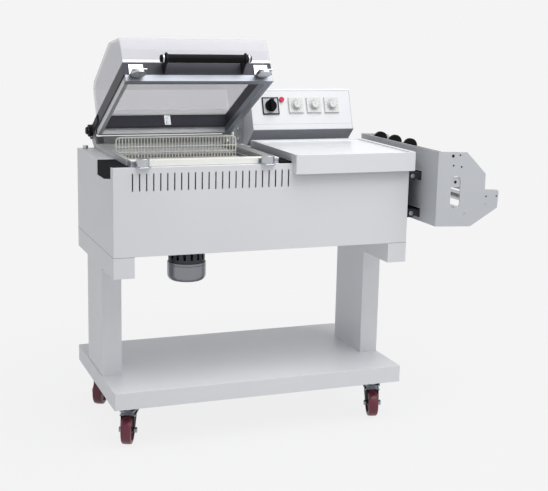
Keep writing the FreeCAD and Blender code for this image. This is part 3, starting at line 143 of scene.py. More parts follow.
# each lamp's place, aim, width in metres and power in watts
lamps = (
    ("overhead_lamp", (0.5, -0.9, 3.2), (0.0, 0.0, 0.9), 2.6, 78.0),
    ("front_lamp", (1.4, -3.6, 1.9), (0.0, 0.0, 0.7), 2.2, 8.0),
)
for name, place, target, width, power in lamps:
    lamp = bpy.data.lights.new(name, "AREA")
    lamp.shape = "SQUARE"
    lamp.size = width
    lamp.energy = power
    holder = bpy.data.objects.new(name, lamp)
    scene.collection.objects.link(holder)
    holder.location = place
    holder.rotation_euler = (Vector(target) - Vector(place)).to_track_quat("-Z", "Y").to_euler()

floor_reach = 40.0
floor_mesh = bpy.data.meshes.new("studio_floor")
corners = [(x * floor_reach, y * floor_reach, 0) for x, y in ((-1, -1), (1, -1), (1, 1), (-1, 1))]
floor_mesh.from_pydata(corners, [], [(0, 1, 2, 3)])
floor = bpy.data.objects.new("studio_floor", floor_mesh)
scene.collection.objects.link(floor)


def new_finish(name):
    """A new material: itself, its empty tree, and the place on the surface in metres."""
    made = bpy.data.materials.new(name)
    made.use_nodes = True
    made.node_tree.nodes.clear()
    return made, made.node_tree, add(made.node_tree, "ShaderNodeTexCoord").outputs["Object"]


# matt paper: it takes a soft shadow near the castors and runs into the backdrop 1.6 m out
paper, tree, where = new_finish("seamless_paper")
reach = add(tree, "ShaderNodeVectorMath", links={0: where}, operation="LENGTH")
fade = {"From Min": 0.5, "From Max": 1.6, "To Min": 0.92, "To Max": 1.0}
near = add(tree, "ShaderNodeMapRange", fade, {"Value": reach.outputs["Value"]})
share = {0: in_view(tree), 1: near.outputs[0]}
share = add(tree, "ShaderNodeMath", links=share, operation="MULTIPLY")
lit = add(tree, "ShaderNodeBsdfDiffuse", {"Color": colour("#f2f2f2")})
plain = add(tree, "ShaderNodeEmission", {"Color": backdrop, "Strength": 1.0})
looks = {0: share.outputs[0], 1: lit.outputs[0], 2: plain.outputs[0]}
both = add(tree, "ShaderNodeMixShader", links=looks)
add(tree, "ShaderNodeOutputMaterial", links={"Surface": both.outputs[0]})
floor_mesh.materials.append(paper)

# -------------------------------------------------------------- sheet-metal body, stand and table
# Folded mild steel sheet, 1.5 to 2.5 mm, welded or riveted at the corners and powder coated
# pale grey. The coat rounds each edge a little and lies in a fine orange peel.
MM = 0.001


def finished(tree, values, links):
    """Ends a material's tree in a Principled shader with these values and links."""
    shader = add(tree, "ShaderNodeBsdfPrincipled", values, links)
    add(tree, "ShaderNodeOutputMaterial", links={"Surface": shader.outputs[0]})


def blended(tree, factor, main, shade):
    """A colour that wanders between two as a pattern does."""
    ends = {"A": main, "B": shade}
    mixed = add(tree, "ShaderNodeMix", ends, {"Factor": factor}, data_type="RGBA")
    return mixed.outputs["Result"]


def powder_coat(name, main, shade, rough, shine=0.5):
    """Powder-coated steel: a faint drift of tone, patchy gloss and a fine orange peel."""
    made, tree, where = new_finish(name)
    drift = add(tree, "ShaderNodeTexNoise", {"Scale": 3.0, "Detail": 2.0}, {"Vector": where})
    tone = blended(tree, drift.outputs["Fac"], colour(main), colour(shade))
    gloss = add(tree, "ShaderNodeTexNoise", {"Scale": 14.0, "Detail": 3.0}, {"Vector": where})
    span = {"To Min": rough - 0.05, "To Max": rough + 0.06}
    patch = add(tree, "ShaderNodeMapRange", span, {"Value": gloss.outputs["Fac"]})
    # real orange peel is about 1 mm across; it is drawn at 3 mm so that it shows
    peel = add(tree, "ShaderNodeTexNoise", {"Scale": 330.0, "Detail": 1.0}, {"Vector": where})
    height = {"Height": peel.outputs["Fac"]}
    bump = add(tree, "ShaderNodeBump", {"Strength": 0.12, "Distance": 0.0003}, height)
    links = {"Base Color": tone, "Roughness": patch.outputs[0], "Normal": bump.outputs[0]}
    finished(tree, {"Specular IOR Level": shine}, links)
    return made


# satin pale grey coat: a soft, broad sheen and no clear reflection
white_coat = powder_coat("powder_coat_pale_grey", "#dedfe1", "#d8d9dc", 0.40)

origin = Vector((front_low.x, front_low.y, 0.0))


def at(x, y, z):
    """A point given in millimetres from the casing's front left corner and the floor."""
    return origin + Vector((x, y, z)) * MM


def settle(piece, sharp=None):
    """Applies a piece's modifiers; sharp is the angle past which an edge stays unsmoothed."""
    depsgraph = bpy.context.evaluated_depsgraph_get()
    result = bpy.data.meshes.new_from_object(piece.evaluated_get(depsgraph))
    piece.modifiers.clear()
    piece.data = result
    if sharp is not None:
        result.shade_smooth()
        result.set_sharp_from_angle(angle=math.radians(sharp))


def eased(node, finishes, radius, choose=None, steps=2):
    """A copy of a CAD node with whole faces and rounded edges, which stands for that node.

    choose gives each face's finish by number, or -1 where another piece takes its place.
    """
    source = frame["nodes"][node]
    mesh = bpy.data.meshes.new(node + "_eased")
    shape = bmesh.new()
    shape.from_mesh(source.data)
    bmesh.ops.remove_doubles(shape, verts=shape.verts, dist=0.00002)
    flat = math.radians(0.6)
    bmesh.ops.dissolve_limit(shape, angle_limit=flat, verts=shape.verts, edges=shape.edges)
    dropped = []
    for face in shape.faces:
        index = choose(face) if choose else 0
        face.smooth = True
        face.material_index = max(index, 0)
        if index < 0:
            dropped.append(face)
    bmesh.ops.delete(shape, geom=dropped, context="FACES")
    shape.to_mesh(mesh)
    shape.free()
    for finish in finishes:
        mesh.materials.append(finish)
    piece = bpy.data.objects.new(node + "_eased", mesh)
    scene.collection.objects.link(piece)
    bevel = piece.modifiers.new("edges", "BEVEL")
    bevel.width = radius * MM
    bevel.segments = steps
    bevel.limit_method = "ANGLE"
    bevel.angle_limit = math.radians(30)
    weighted = piece.modifiers.new("flat_faces", "WEIGHTED_NORMAL")
    weighted.weight = 90
    settle(piece)
    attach(piece, source["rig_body"])
    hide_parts(node)
    return piece


# each sheet's edge radius in millimetres, by how thick and how sharply folded it is
for node, radius in (
    ("base_shelf", 1.6),
    ("left_leg", 1.2),
    ("right_leg", 1.2),
    ("left_side_panel", 0.6),
    ("right_side_panel", 0.6),
    ("rear_panel", 0.5),
    ("deck_plate", 0.4),
    ("front_panel", 0.7),
):
    eased(node, [white_coat], radius)


def place_piece(name, mesh, finishes, body, replaced=()):
    """Makes an object from a finished mesh and hangs it on a body."""
    mesh.materials.clear()
    for finish in finishes:
        mesh.materials.append(finish)
    piece = bpy.data.objects.new(name, mesh)
    scene.collection.objects.link(piece)
    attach(piece, body)
    if replaced:
        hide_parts(*replaced)
    return piece


def turned(shape, centre, axis, profile, sides=48):
    """Adds a turned surface; its profile is (radius, distance along the axis) in millimetres."""
    axis = Vector(axis).normalized()
    out = axis.orthogonal().normalized()
    across = axis.cross(out)
    rings = []
    for radius, along in profile:
        middle = centre + axis * along * MM
        if radius == 0:
            rings.append([shape.verts.new(middle)])
            continue
        ring = []
        for k in range(sides):
            turn = 2 * math.pi * k / sides
            spoke = out * math.cos(turn) + across * math.sin(turn)
            ring.append(shape.verts.new(middle + spoke * radius * MM))
        rings.append(ring)
    for first, second in zip(rings, rings[1:]):
        for k in range(sides):
            n = (k + 1) % sides
            if len(first) == 1:
                shape.faces.new((first[0], second[k], second[n]))
            elif len(second) == 1:
                shape.faces.new((first[k], first[n], second[0]))
            else:
                shape.faces.new((first[k], first[n], second[n], second[k]))


def closed_mesh(name, shape, sharp=32.0):
    """Turns a bmesh into a mesh with its faces outward."""
    bmesh.ops.recalc_face_normals(shape, faces=shape.faces)
    mesh = bpy.data.meshes.new(name)
    shape.to_mesh(mesh)
    shape.free()
    mesh.shade_smooth()
    mesh.set_sharp_from_angle(angle=math.radians(sharp))
    return mesh


# the table's coat is glossier, so film and goods slide on it: it mirrors its surroundings faintly
gloss_coat = powder_coat("powder_coat_gloss_table", "#e2e3e5", "#dcdde0", 0.24)
eased("work_table", [gloss_coat], 1.2)


def slab(shape, point, limits, ease=0.0):
    """Adds a box whose corners come from a function of three measures, its edges rounded."""
    places = [(a, b, c) for a in limits[0] for b in limits[1] for c in limits[2]]
    corners = [shape.verts.new(point(*place)) for place in places]
    rows = ((0, 1, 3, 2), (4, 6, 7, 5), (0, 4, 5, 1), (2, 3, 7, 6), (0, 2, 6, 4), (1, 5, 7, 3))
    faces = [shape.faces.new([corners[k] for k in row]) for row in rows]
    if ease:
        edges = list({edge for face in faces for edge in face.edges})
        bmesh.ops.bevel(shape, geom=edges, offset=ease * MM, segments=2, affect="EDGES")


# A thin dark strip where the casing stands on the two cross trays is painted shade: it draws
# the shadow line under the casing, matt and darker than the coat.
shadow_line_coat = powder_coat("painted_shadow_line", "#8b8d91", "#82848a", 0.7)
casing_length = 960.0
tray_reach = 64.0
shadow_line_depth = (0.3, 524.0)
shadow_line_height = (front_low.z / MM - 0.9, front_low.z / MM + 0.5)
shadow_line_front = (-0.12, 0.6)
shadow_line_right = (casing_length - 0.6, casing_length + 0.12)
shape = bmesh.new()
slab(shape, at, ((0.3, tray_reach), shadow_line_front, shadow_line_height))
slab(shape, at, ((casing_length - tray_reach, casing_length - 0.3), shadow_line_front, shadow_line_height))
slab(shape, at, (shadow_line_front, shadow_line_depth, shadow_line_height))
slab(shape, at, (shadow_line_right, shadow_line_depth, shadow_line_height))
place_piece("casing_shadow_line", closed_mesh("casing_shadow_line", shape), [shadow_line_coat], "machine")

# -------------------------------------------------------------- floor pan, fan motor and its cage
# The pan is coated with the casing. The shaded-pole motor hangs under it: a spun aluminium
# can below a black slotted cage that lets its cooling air through.


def metal(name, main, rough, grain, stretch=(1.0, 1.0, 1.0), depth=0.05):
    """Bare or plated metal: its tone wanders a little, and fine marks run with its grain."""
    made, tree, where = new_finish(name)
    size = add(tree, "ShaderNodeMapping", {"Scale": stretch}, {"Vector": where})
    # brushed or turned marks are 0.1 to 0.3 mm apart; they are drawn 1 mm or more apart to show
    fine = {"Scale": grain, "Detail": 4.0}
    marks = add(tree, "ShaderNodeTexNoise", fine, {"Vector": size.outputs[0]}).outputs["Fac"]
    cloud = add(tree, "ShaderNodeTexNoise", {"Scale": 9.0, "Detail": 2.0}, {"Vector": where})
    duller = [channel * 0.82 for channel in colour(main)[:3]] + [1.0]
    tone = blended(tree, marks, colour(main), duller)
    span = {"To Min": rough - 0.07, "To Max": rough + 0.1}
    gloss = add(tree, "ShaderNodeMapRange", span, {"Value": cloud.outputs["Fac"]})
    bump = add(tree, "ShaderNodeBump", {"Strength": depth, "Distance": 0.0002}, {"Height": marks})
    links = {"Base Color": tone, "Roughness": gloss.outputs[0], "Normal": bump.outputs[0]}
    finished(tree, {"Metallic": 1.0}, links)
    return made


# spun aluminium shows rings round its axis; blackened sheet is dark with a dull gloss
spun_aluminium = metal("spun_aluminium", "#939499", 0.30, 90.0, (0.3, 0.3, 14.0), 0.12)
dark_sheet = metal("blackened_steel_sheet", "#4a4b50", 0.45, 40.0)
pan_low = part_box("floor_pan")[0].z
can_height = 60.0
cage_height = 121.5
can_top = pan_low + can_height * MM
cage_top = pan_low + cage_height * MM


def motor_part(face):
    """Which finish a face of the floor pan's group takes, from its height."""
    height = face.calc_center_median().z
    if height < can_top + 0.0002:
        return -1
    return 1 if height < cage_top else 0


eased("floor_pan", [white_coat, dark_sheet], 1.0, motor_part)
# the can's outline, (radius, height): a domed end, a straight wall and a rolled bead at the rim
can = [(0, 0), (44.0, 0), (50.5, 1.2), (56.0, 4.8), (59.6, 10.0), (61.2, 16.5), (61.5, 24.0)]
can += [(61.5, 51.0), (60.7, 52.2), (61.5, 53.4), (61.5, 58.8), (60.6, 60.0), (50.0, 60.0)]
motor_low, motor_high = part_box("fan_impeller")
motor_axis = (motor_low + motor_high) / 2
motor_axis.z = pan_low
shape = bmesh.new()
turned(shape, motor_axis, (0, 0, 1), can, 72)
can_mesh = closed_mesh("motor_can", shape)
place_piece("motor_can", can_mesh, [spun_aluminium], "machine")

# ---------------------------------------------------------------------------------------- castors
# Bright zinc top plates bolted under the shelf, black pressed forks on a ball race, and
# maroon polyurethane wheels turning on zinc axle bolts.
# zinc plate over pressed steel: a cool, cloudy brightness
zinc = metal("bright_zinc_plate", "#9fa5ad", 0.30, 24.0)


def moulded(name, main, shade, rough, grain, depth, shine=0.5):
    """Moulded plastic or rubber: a slight drift of tone and the mould's fine grain."""
    made, tree, where = new_finish(name)
    drift = add(tree, "ShaderNodeTexNoise", {"Scale": 12.0, "Detail": 3.0}, {"Vector": where})
    drift = drift.outputs["Fac"]
    tone = blended(tree, drift, colour(main), colour(shade))
    span = {"To Min": rough - 0.06, "To Max": rough + 0.08}
    gloss = add(tree, "ShaderNodeMapRange", span, {"Value": drift})
    # a mould's spark-eroded grain is 0.1 to 0.3 mm across; it is drawn at 2 to 4 mm to show
    cells = add(tree, "ShaderNodeTexVoronoi", {"Scale": grain}, {"Vector": where})
    height = {"Height": cells.outputs["Distance"]}
    bump = add(tree, "ShaderNodeBump", {"Strength": depth, "Distance": 0.0002}, height)
    links = {"Base Color": tone, "Roughness": gloss.outputs[0], "Normal": bump.outputs[0]}
    finished(tree, {"Specular IOR Level": shine}, links)
    return made


# cast polyurethane: deep maroon with a waxy gloss; the forks' coat is a low-sheen black
maroon = moulded("maroon_polyurethane", "#6c2436", "#5e1e2e", 0.33, 260.0, 0.06)
black_coat = powder_coat("powder_coat_satin_black", "#18171d", "#131217", 0.6, 0.2)
joints = {joint["name"]: joint for joint in frame["joints"]}
upwards = Vector((0, 0, 1))
# half of the wheel's outline, (radius, distance from its middle): hub, web, rim and crowned tread
tread = [(0, -15.5), (4.5, -15.5), (9.5, -15.0), (10.5, -13.0), (12.0, -8.5), (29.0, -8.5)]
tread += [(31.5, -10.0), (33.0, -14.5), (35.0, -15.8), (40.5, -15.6), (43.2, -14.0)]
tread += [(44.4, -11.0), (44.8, -5.0), (44.9, 0)]
tread += [(radius, -along) for radius, along in reversed(tread[:-1])]
# the ball race's lower cup, (radius, height above the floor)
cup = [(20.0, 104.0), (28.5, 104.4), (32.0, 106.4), (33.5, 109.0), (33.5, 112.0)]
cup += [(32.2, 113.5), (20.0, 113.5)]
cheek_outside = 21.3
crown_width = 41.0
crown_low, crown_low_length = 92.4, 58.0
crown_top, crown_top_length = 106.5, 64.0
castor_corners = ("front_left", "front_right", "rear_left", "rear_right")
for corner in castor_corners:
    node = "caster_wheel_" + corner
    low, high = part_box(node)
    hub = (low + high) / 2
    axle = Vector(joints["roll_" + corner]["axis"])
    pin = Vector(joints["swivel_" + corner]["pos_m"])
    pin.z = 0
    shape = bmesh.new()
    turned(shape, hub, axle, tread, 72)
    tyre = closed_mesh(node, shape)
    place_piece(node + "_tyre", tyre, [maroon], "wheel_" + corner, [node])

    def axle_nut(face):
        """Zinc past the fork's cheeks, black coat elsewhere."""
        return 1 if abs((face.calc_center_median() - hub).dot(axle)) > cheek_outside * MM else 0

    eased("caster_fork_" + corner, [black_coat, zinc], 0.6, axle_nut)
    # The pressed crown closes the fork over the wheel, and a bright cup holds the lower balls.
    lead = axle.cross(upwards)
    shape = bmesh.new()
    for vertex in bmesh.ops.create_cube(shape, size=1.0)["verts"]:
        x, y, z = vertex.co
        length = crown_top_length if z > 0 else crown_low_length
        height = crown_top if z > 0 else crown_low
        offset = axle * x * crown_width + lead * y * length + upwards * height
        vertex.co = pin + offset * MM
    bmesh.ops.bevel(shape, geom=shape.edges[:], offset=4.0 * MM, segments=3, affect="EDGES")
    name = "caster_crown_" + corner
    place_piece(name, closed_mesh(name, shape, 50.0), [zinc], "fork_" + corner)
    shape = bmesh.new()
    turned(shape, pin, upwards, cup, 48)
    name = "caster_race_cup_" + corner
    place_piece(name, closed_mesh(name, shape), [zinc], "fork_" + corner)
eased("caster_plates", [zinc], 0.8)


def new_tree(name, inputs):
    """A Geometry Nodes tree with named inputs: itself and its inputs' sockets."""
    tree = bpy.data.node_groups.new(name, "GeometryNodeTree")
    for label, kind in inputs.items():
        tree.interface.new_socket(name=label, in_out="INPUT", socket_type="NodeSocket" + kind)
    tree.interface.new_socket(
        name="Geometry", in_out="OUTPUT", socket_type="NodeSocketGeometry"
    )
    return tree, add(tree, "NodeGroupInput").outputs


def planted(tree, links, finish):
    """Ends a tree: instances on points, made real and given their finish."""
    spread = add(tree, "GeometryNodeInstanceOnPoints", links=links)
    solid = add(tree, "GeometryNodeRealizeInstances", links={"Geometry": spread.outputs[0]})
    links = {"Geometry": solid.outputs[0], "Material": finish}
    painted = add(tree, "GeometryNodeSetMaterial", links=links)
    add(tree, "NodeGroupOutput", links={"Geometry": painted.outputs[0]})


# one bolt head at each point, its axis along a direction
sockets = {"Geometry": "Geometry", "Sides": "Int", "Radius": "Float", "Height": "Float"}
sockets |= {"Direction": "Vector", "Finish": "Material"}
bolt_tree, given = new_tree("bolt_heads", sockets)
sizes = {"Vertices": given["Sides"], "Radius": given["Radius"], "Depth": given["Height"]}
head = add(bolt_tree, "GeometryNodeMeshCylinder", links=sizes).outputs["Mesh"]
aim = {"Vector": given["Direction"]}
aim = add(bolt_tree, "FunctionNodeAlignRotationToVector", links=aim, axis="Z").outputs[0]
links = {"Points": given["Geometry"], "Instance": head, "Rotation": aim}
planted(bolt_tree, links, given["Finish"])


def grown(name, tree, mesh, values, body, sharp=32.0, ease=0.0):
    """Runs a Geometry Nodes tree on a mesh and keeps the result as a plain piece."""
    piece = bpy.data.objects.new(name, mesh)
    scene.collection.objects.link(piece)
    modifier = piece.modifiers.new("nodes", "NODES")
    modifier.node_group = tree
    for item in tree.interface.items_tree:
        if item.in_out == "INPUT" and item.name in values:
            modifier[item.identifier] = values[item.name]
    if ease:
        bevel = piece.modifiers.new("edges", "BEVEL")
        bevel.width = ease * MM
        bevel.segments = 2
        bevel.limit_method = "ANGLE"
        bevel.angle_limit = math.radians(40)
    settle(piece, sharp)
    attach(piece, body)
    return piece


def bolts(name, points, direction, radius, height, sides, finish, body):
    """A set of like bolt or screw heads, given by the points that they stand on."""
    mesh = bpy.data.meshes.new(name)
    lifted = [point + Vector(direction).normalized() * height * MM / 2 for point in points]
    mesh.from_pydata([tuple(point) for point in lifted], [], [])
    values = {"Sides": sides, "Radius": radius * MM, "Height": height * MM}
    values |= {"Direction": direction, "Finish": finish}
    return grown(name, bolt_tree, mesh, values, body, ease=0.35)


plate_thickness = 4.0
plate_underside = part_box("caster_plates")[1].z - plate_thickness * MM
bolt_spread = [Vector((x, y, 0)) * MM for x in (-42, 42) for y in (-32, 32)]
plate_bolts = []
for corner in castor_corners:
    centre = Vector(joints["swivel_" + corner]["pos_m"])
    centre.z = plate_underside
    plate_bolts += [centre + offset for offset in bolt_spread]
bolts("castor_plate_bolts", plate_bolts, (0, 0, -1), 5.5, 4.0, 6, zinc, "machine")

# ------------------------------------------------------------- corner block as painted shade, gland and bare edges
# The black corner piece is painted shade: it fills the dark hole at the deck's front left
# corner. It and the supply gland are glass-filled nylon with a fine spark-eroded grain.
black_nylon = moulded("black_glass_filled_nylon", "#101015", "#0c0c10", 0.78, 420.0, 0.1, 0.1)
eased("corner_guard", [black_nylon], 0.9)
eased("supply_gland", [black_nylon], 0.4)
eased("film_guard_strip", [black_nylon], 0.4)

# ---------------------------------------------------------------- shrink chamber, heaters and fan
# Aluminised steel tub and baffle, dulled by heat; the heater rods are stainless, straw and
# grey with use, and the fan is pressed from the same sheet as the tub.
# aluminised sheet is soft grey with faint spangle; heated stainless is straw and grey, duller
aluminised = metal("aluminised_steel_sheet", "#a4a6a9", 0.42, 18.0)
heater_steel = metal("heat_tinted_stainless", "#7e766c", 0.38, 30.0)
eased("chamber_tub", [aluminised], 0.5)
eased("air_baffle", [aluminised], 0.4)
eased("fan_impeller", [aluminised], 0.3)
eased("heater_elements", [heater_steel], 0.2)

# ------------------------------------------------------------------------------------ wire basket
# Welded mild steel wire, dipped in a cream plastic coat that thickens and softens every
# crossing. The rear fence stands up with rounded corners and a rail half way.
# a dipped coat gathers in runs about 20 mm long, which show as soft swells under a wet gloss
cream_coat, tree, where = new_finish("cream_nylon_dip_coating")
runs = add(tree, "ShaderNodeTexNoise", {"Scale": 45.0, "Detail": 2.0}, {"Vector": where})
runs = runs.outputs["Fac"]
tone = blended(tree, runs, colour("#fdfcf4"), colour("#f4f2e6"))
bump = add(tree, "ShaderNodeBump", {"Strength": 0.15, "Distance": 0.0004}, {"Height": runs})
finished(tree, {"Roughness": 0.32}, {"Base Color": tone, "Normal": bump.outputs[0]})
# a row of like straight wires, one at each step along a line
sockets = {"Geometry": "Geometry", "Count": "Int", "Start": "Vector", "Step": "Vector"}
sockets |= {"Run": "Vector", "Radius": "Float", "Finish": "Material"}
wire_tree, given = new_tree("wire_row", sockets)
links = {"Count": given["Count"], "Start Location": given["Start"], "Offset": given["Step"]}
line = add(wire_tree, "GeometryNodeMeshLine", links=links).outputs[0]
path = add(wire_tree, "GeometryNodeCurvePrimitiveLine", links={"End": given["Run"]})
links = {"Radius": given["Radius"]}
ring = add(wire_tree, "GeometryNodeCurvePrimitiveCircle", {"Resolution": 8}, links)
links = {"Curve": path.outputs[0], "Profile Curve": ring.outputs[0]}
rod = add(wire_tree, "GeometryNodeCurveToMesh", {"Fill Caps": True}, links).outputs[0]
planted(wire_tree, {"Points": line, "Instance": rod}, given["Finish"])


def wires(name, start, step, count, run):
    """A row of the basket's wires as one piece."""
    values = {"Count": count, "Start": start, "Step": step, "Run": run}
    values |= {"Radius": wire * MM, "Finish": cream_coat}
    mesh = bpy.data.meshes.new(name)
    return grown(name, wire_tree, mesh, values, "basket", sharp=50.0)


def bent_wire(name, points, radius, sides=3):
    """A mesh of round wire that follows points."""
    line = bpy.data.curves.new(name, "CURVE")
    line.dimensions = "3D"
    line.bevel_depth = radius * MM
    line.bevel_resolution = sides
    line.use_fill_caps = True
    run = line.splines.new("POLY")
    run.points.add(len(points) - 1)
    for spot, point in zip(run.points, points):
        spot.co = (*point, 1.0)
    holder = bpy.data.objects.new(name, line)
    scene.collection.objects.link(holder)
    depsgraph = bpy.context.evaluated_depsgraph_get()
    mesh = bpy.data.meshes.new_from_object(holder.evaluated_get(depsgraph))
    bpy.data.objects.remove(holder)
    mesh.shade_smooth()
    return mesh


def softened(corners, radius, steps=6):
    """Corner points with each bend drawn as an arc."""
    path = [corners[0]]
    for before, corner, after in zip(corners, corners[1:], corners[2:]):
        start = corner + (before - corner).normalized() * radius * MM
        end = corner + (after - corner).normalized() * radius * MM
        for k in range(steps + 1):
            t = k / steps
            path.append(start * (1 - t) ** 2 + corner * 2 * t * (1 - t) + end * t**2)
    return path + [corners[-1]]


basket_low, basket_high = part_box("basket")
rim = 2.0
wire = 1.8
edge_wire = 2.3
wire_pitch, cross_pitch = 10.2, 20.0
corner_bend = 14.0
left, front = basket_low.x + rim * MM, basket_low.y + rim * MM
right_x, back = basket_high.x - rim * MM, basket_high.y - rim * MM
floor_z = basket_low.z + rim * MM
top_z = basket_high.z - rim * MM
width, depth, height = right_x - left, back - front, top_z - floor_z
across = int(round(width / (wire_pitch * MM)))
along = int(round(depth / (cross_pitch * MM)))
step_x, step_y = width / across, depth / along
edge_wires = {
    "basket_fence_rail": [(left, back, top_z), (right_x, back, top_z)],
    "basket_floor_rim": [(left, front, floor_z), (right_x, front, floor_z)],
}
for name, bends in edge_wires.items():
    line = [Vector(point) for point in ((left, back, floor_z), *bends, (right_x, back, floor_z))]
    mesh = bent_wire(name, softened(line, corner_bend), edge_wire)
    stands_for = ["basket"] if name == "basket_fence_rail" else ()
    place_piece(name, mesh, [cream_coat], "basket", stands_for)
first = (left + step_x, front, floor_z + 0.4 * MM)
wires("basket_floor_wires", first, (step_x, 0, 0), across - 1, (0, depth, 0))
first = (left, front + step_y, floor_z - 1.2 * MM)
wires("basket_cross_wires", first, (0, step_y, 0), along, (width, 0, 0))
first = (left + step_x, back, floor_z)
wires("basket_fence_wires", first, (step_x, 0, 0), across - 1, (0, 0, height))
first = (left, back - 1.4 * MM, floor_z + height * 0.28)
wires("basket_fence_rails", first, (0, 0, height * 0.27), 2, (width, 0, 0))

# ------------------------------------------------------------ lower jaw, strips, seat and magnets
# Extruded aluminium jaws, mill finish brushed along their length, carry a heat-proof glass
# cloth strip. Pot magnets in zinc-plated cans hold the hood down while the seal cools.
# brushed aluminium: highlights drawn out across the brush marks, which run along each jaw
along_x, along_y = (0.12, 6.0, 6.0), (6.0, 0.12, 6.0)
brushed_x = metal("brushed_aluminium_along_x", "#b3b8c0", 0.36, 140.0, along_x, 0.1)
brushed_y = metal("brushed_aluminium_along_y", "#a4a8ae", 0.36, 140.0, along_y, 0.1)
# coated glass cloth: cream, waxy and matt, with a fine square weave
glass_cloth, tree, where = new_finish("ptfe_glass_cloth")
# the cloth's threads are 0.5 mm apart; they are drawn 2 mm apart so that they show
threads = {}
for number, way in enumerate("XY"):
    even = {"Scale": 160.0, "Distortion": 0.3}
    bands = add(tree, "ShaderNodeTexWave", even, {"Vector": where}, bands_direction=way)
    threads[number] = bands.outputs["Fac"]
weave = add(tree, "ShaderNodeMath", links=threads, operation="MULTIPLY").outputs[0]
stain = add(tree, "ShaderNodeTexNoise", {"Scale": 20.0, "Detail": 4.0}, {"Vector": where})
tone = blended(tree, stain.outputs["Fac"], colour("#f6f6f1"), colour("#eae9e1"))
bump = add(tree, "ShaderNodeBump", {"Strength": 0.2, "Distance": 0.0002}, {"Height": weave})
finished(tree, {"Roughness": 0.6}, {"Base Color": tone, "Normal": bump.outputs[0]})
eased("lower_jaw_front", [brushed_x], 0.5)
eased("lower_jaw_side", [brushed_y], 0.5)
# tape over the side jaw: grey, smooth and a little glossier than the cloth
side_cloth = powder_coat("ptfe_tape_over_side_jaw", "#8d8f8b", "#7d7f7b", 0.38)
front_jaw_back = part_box("lower_jaw_front")[1].y


def strip_part(face):
    """Cream cloth on the front jaw, grey tape on the side jaw."""
    return 1 if face.calc_center_median().y > front_jaw_back + 0.001 else 0


eased("jaw_strips", [glass_cloth, side_cloth], 0.4, strip_part)
# the seat's coat is a shade darker than the casing's; silicone rubber is matt and skin-smooth
seat_coat = powder_coat("powder_coat_light_grey", "#c6c8ca", "#bec0c3", 0.38)
silicone = moulded("silicone_gasket", "#b9b8b4", "#aeada8", 0.55, 300.0, 0.1)
eased("chamber_seat", [seat_coat], 0.5)
eased("chamber_gasket", [silicone], 0.5)
# nickel plate: the brightest metal here, with sharp highlights on its rounded edges
nickel = metal("nickel_plated_pot_steel", "#c6c9ce", 0.24, 30.0)
eased("holding_magnets", [nickel], 1.2)

# ------------------------------------------------------------------- hinge, springs and rear rail
# Grey-coated brackets and gussets bolted to the deck carry a ground steel shaft; two torsion
# springs wound on it balance the hood.
# ground bar: fine rings round it and a long bright highlight; the brackets' coat is mid grey
ground_steel = metal("ground_steel_bar", "#b4b7bb", 0.24, 70.0, (0.3, 8.0, 8.0), 0.06)
bracket_coat = powder_coat("powder_coat_mid_grey", "#a9acad", "#a1a4a5", 0.38)
deck_bolt_side = at(36.0, 0.0, 0.0).x
shaft_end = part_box("hood_arms")[0].x + 4.0 * MM


def deck_bolt(face):
    """The bolt in the deck, left of the bracket, is plated; the brackets are coated."""
    return 1 if face.calc_center_median().x < deck_bolt_side else 0


def left_end(face):
    """The shaft's left end carries a black cap."""
    return 1 if face.calc_center_median().x < shaft_end else 0


eased("hinge_brackets", [bracket_coat, nickel], 0.8, deck_bolt)
eased("hinge_shaft", [ground_steel, black_coat], 0.5, left_end)
eased("rear_rail", [bracket_coat], 0.6)
gusset_foot = 865.2
shape = bmesh.new()
slab(shape, at, ((56.5, 106.0), (520.0, 523.0), (gusset_foot, 902.0)), 0.6)
slab(shape, at, ((551.5, 585.0), (538.5, 541.0), (gusset_foot, 985.0)), 0.6)
gussets = closed_mesh("hinge_gussets", shape, 40.0)
place_piece("hinge_gussets", gussets, [bracket_coat], "machine")
heads = [at(568.0, 538.5, height) for height in (918.0, 884.0)]
bolts("hinge_gusset_bolts", heads, (0, -1, 0), 6.5, 4.5, 16, nickel, "machine")

# The springs' two spans lie each side of the widest gap between their points along the shaft.
spans = sorted(vertex.co.x for vertex in frame["nodes"]["counter_springs"].data.vertices)
gap_at = max(range(1, len(spans)), key=lambda k: spans[k] - spans[k - 1])
spring_spans = [(spans[0], spans[gap_at - 1]), (spans[gap_at], spans[-1])]
spring_low, spring_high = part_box("counter_springs")
middle = (spring_low + spring_high) / 2
coil_wire, coil_pitch = 1.8, 4.4
coil_radius = (spring_high.z - spring_low.z) / 2 / MM - coil_wire
for index, (start, end) in enumerate(spring_spans):
    length = end - start - 2 * coil_wire * MM
    turns = length / (coil_pitch * MM)
    steps = int(turns * 20)
    helix = []
    for k in range(steps + 1):
        angle = 2 * math.pi * turns * k / steps
        x = start + coil_wire * MM + length * k / steps
        y = middle.y + coil_radius * MM * math.cos(angle)
        z = middle.z + coil_radius * MM * math.sin(angle)
        helix.append((x, y, z))
    name = "counter_spring_coil_" + str(index + 1)
    mesh = bent_wire(name, helix, coil_wire, sides=2)
    stands_for = ["counter_springs"] if index == 0 else ()
    place_piece(name, mesh, [ground_steel], "machine", stands_for)

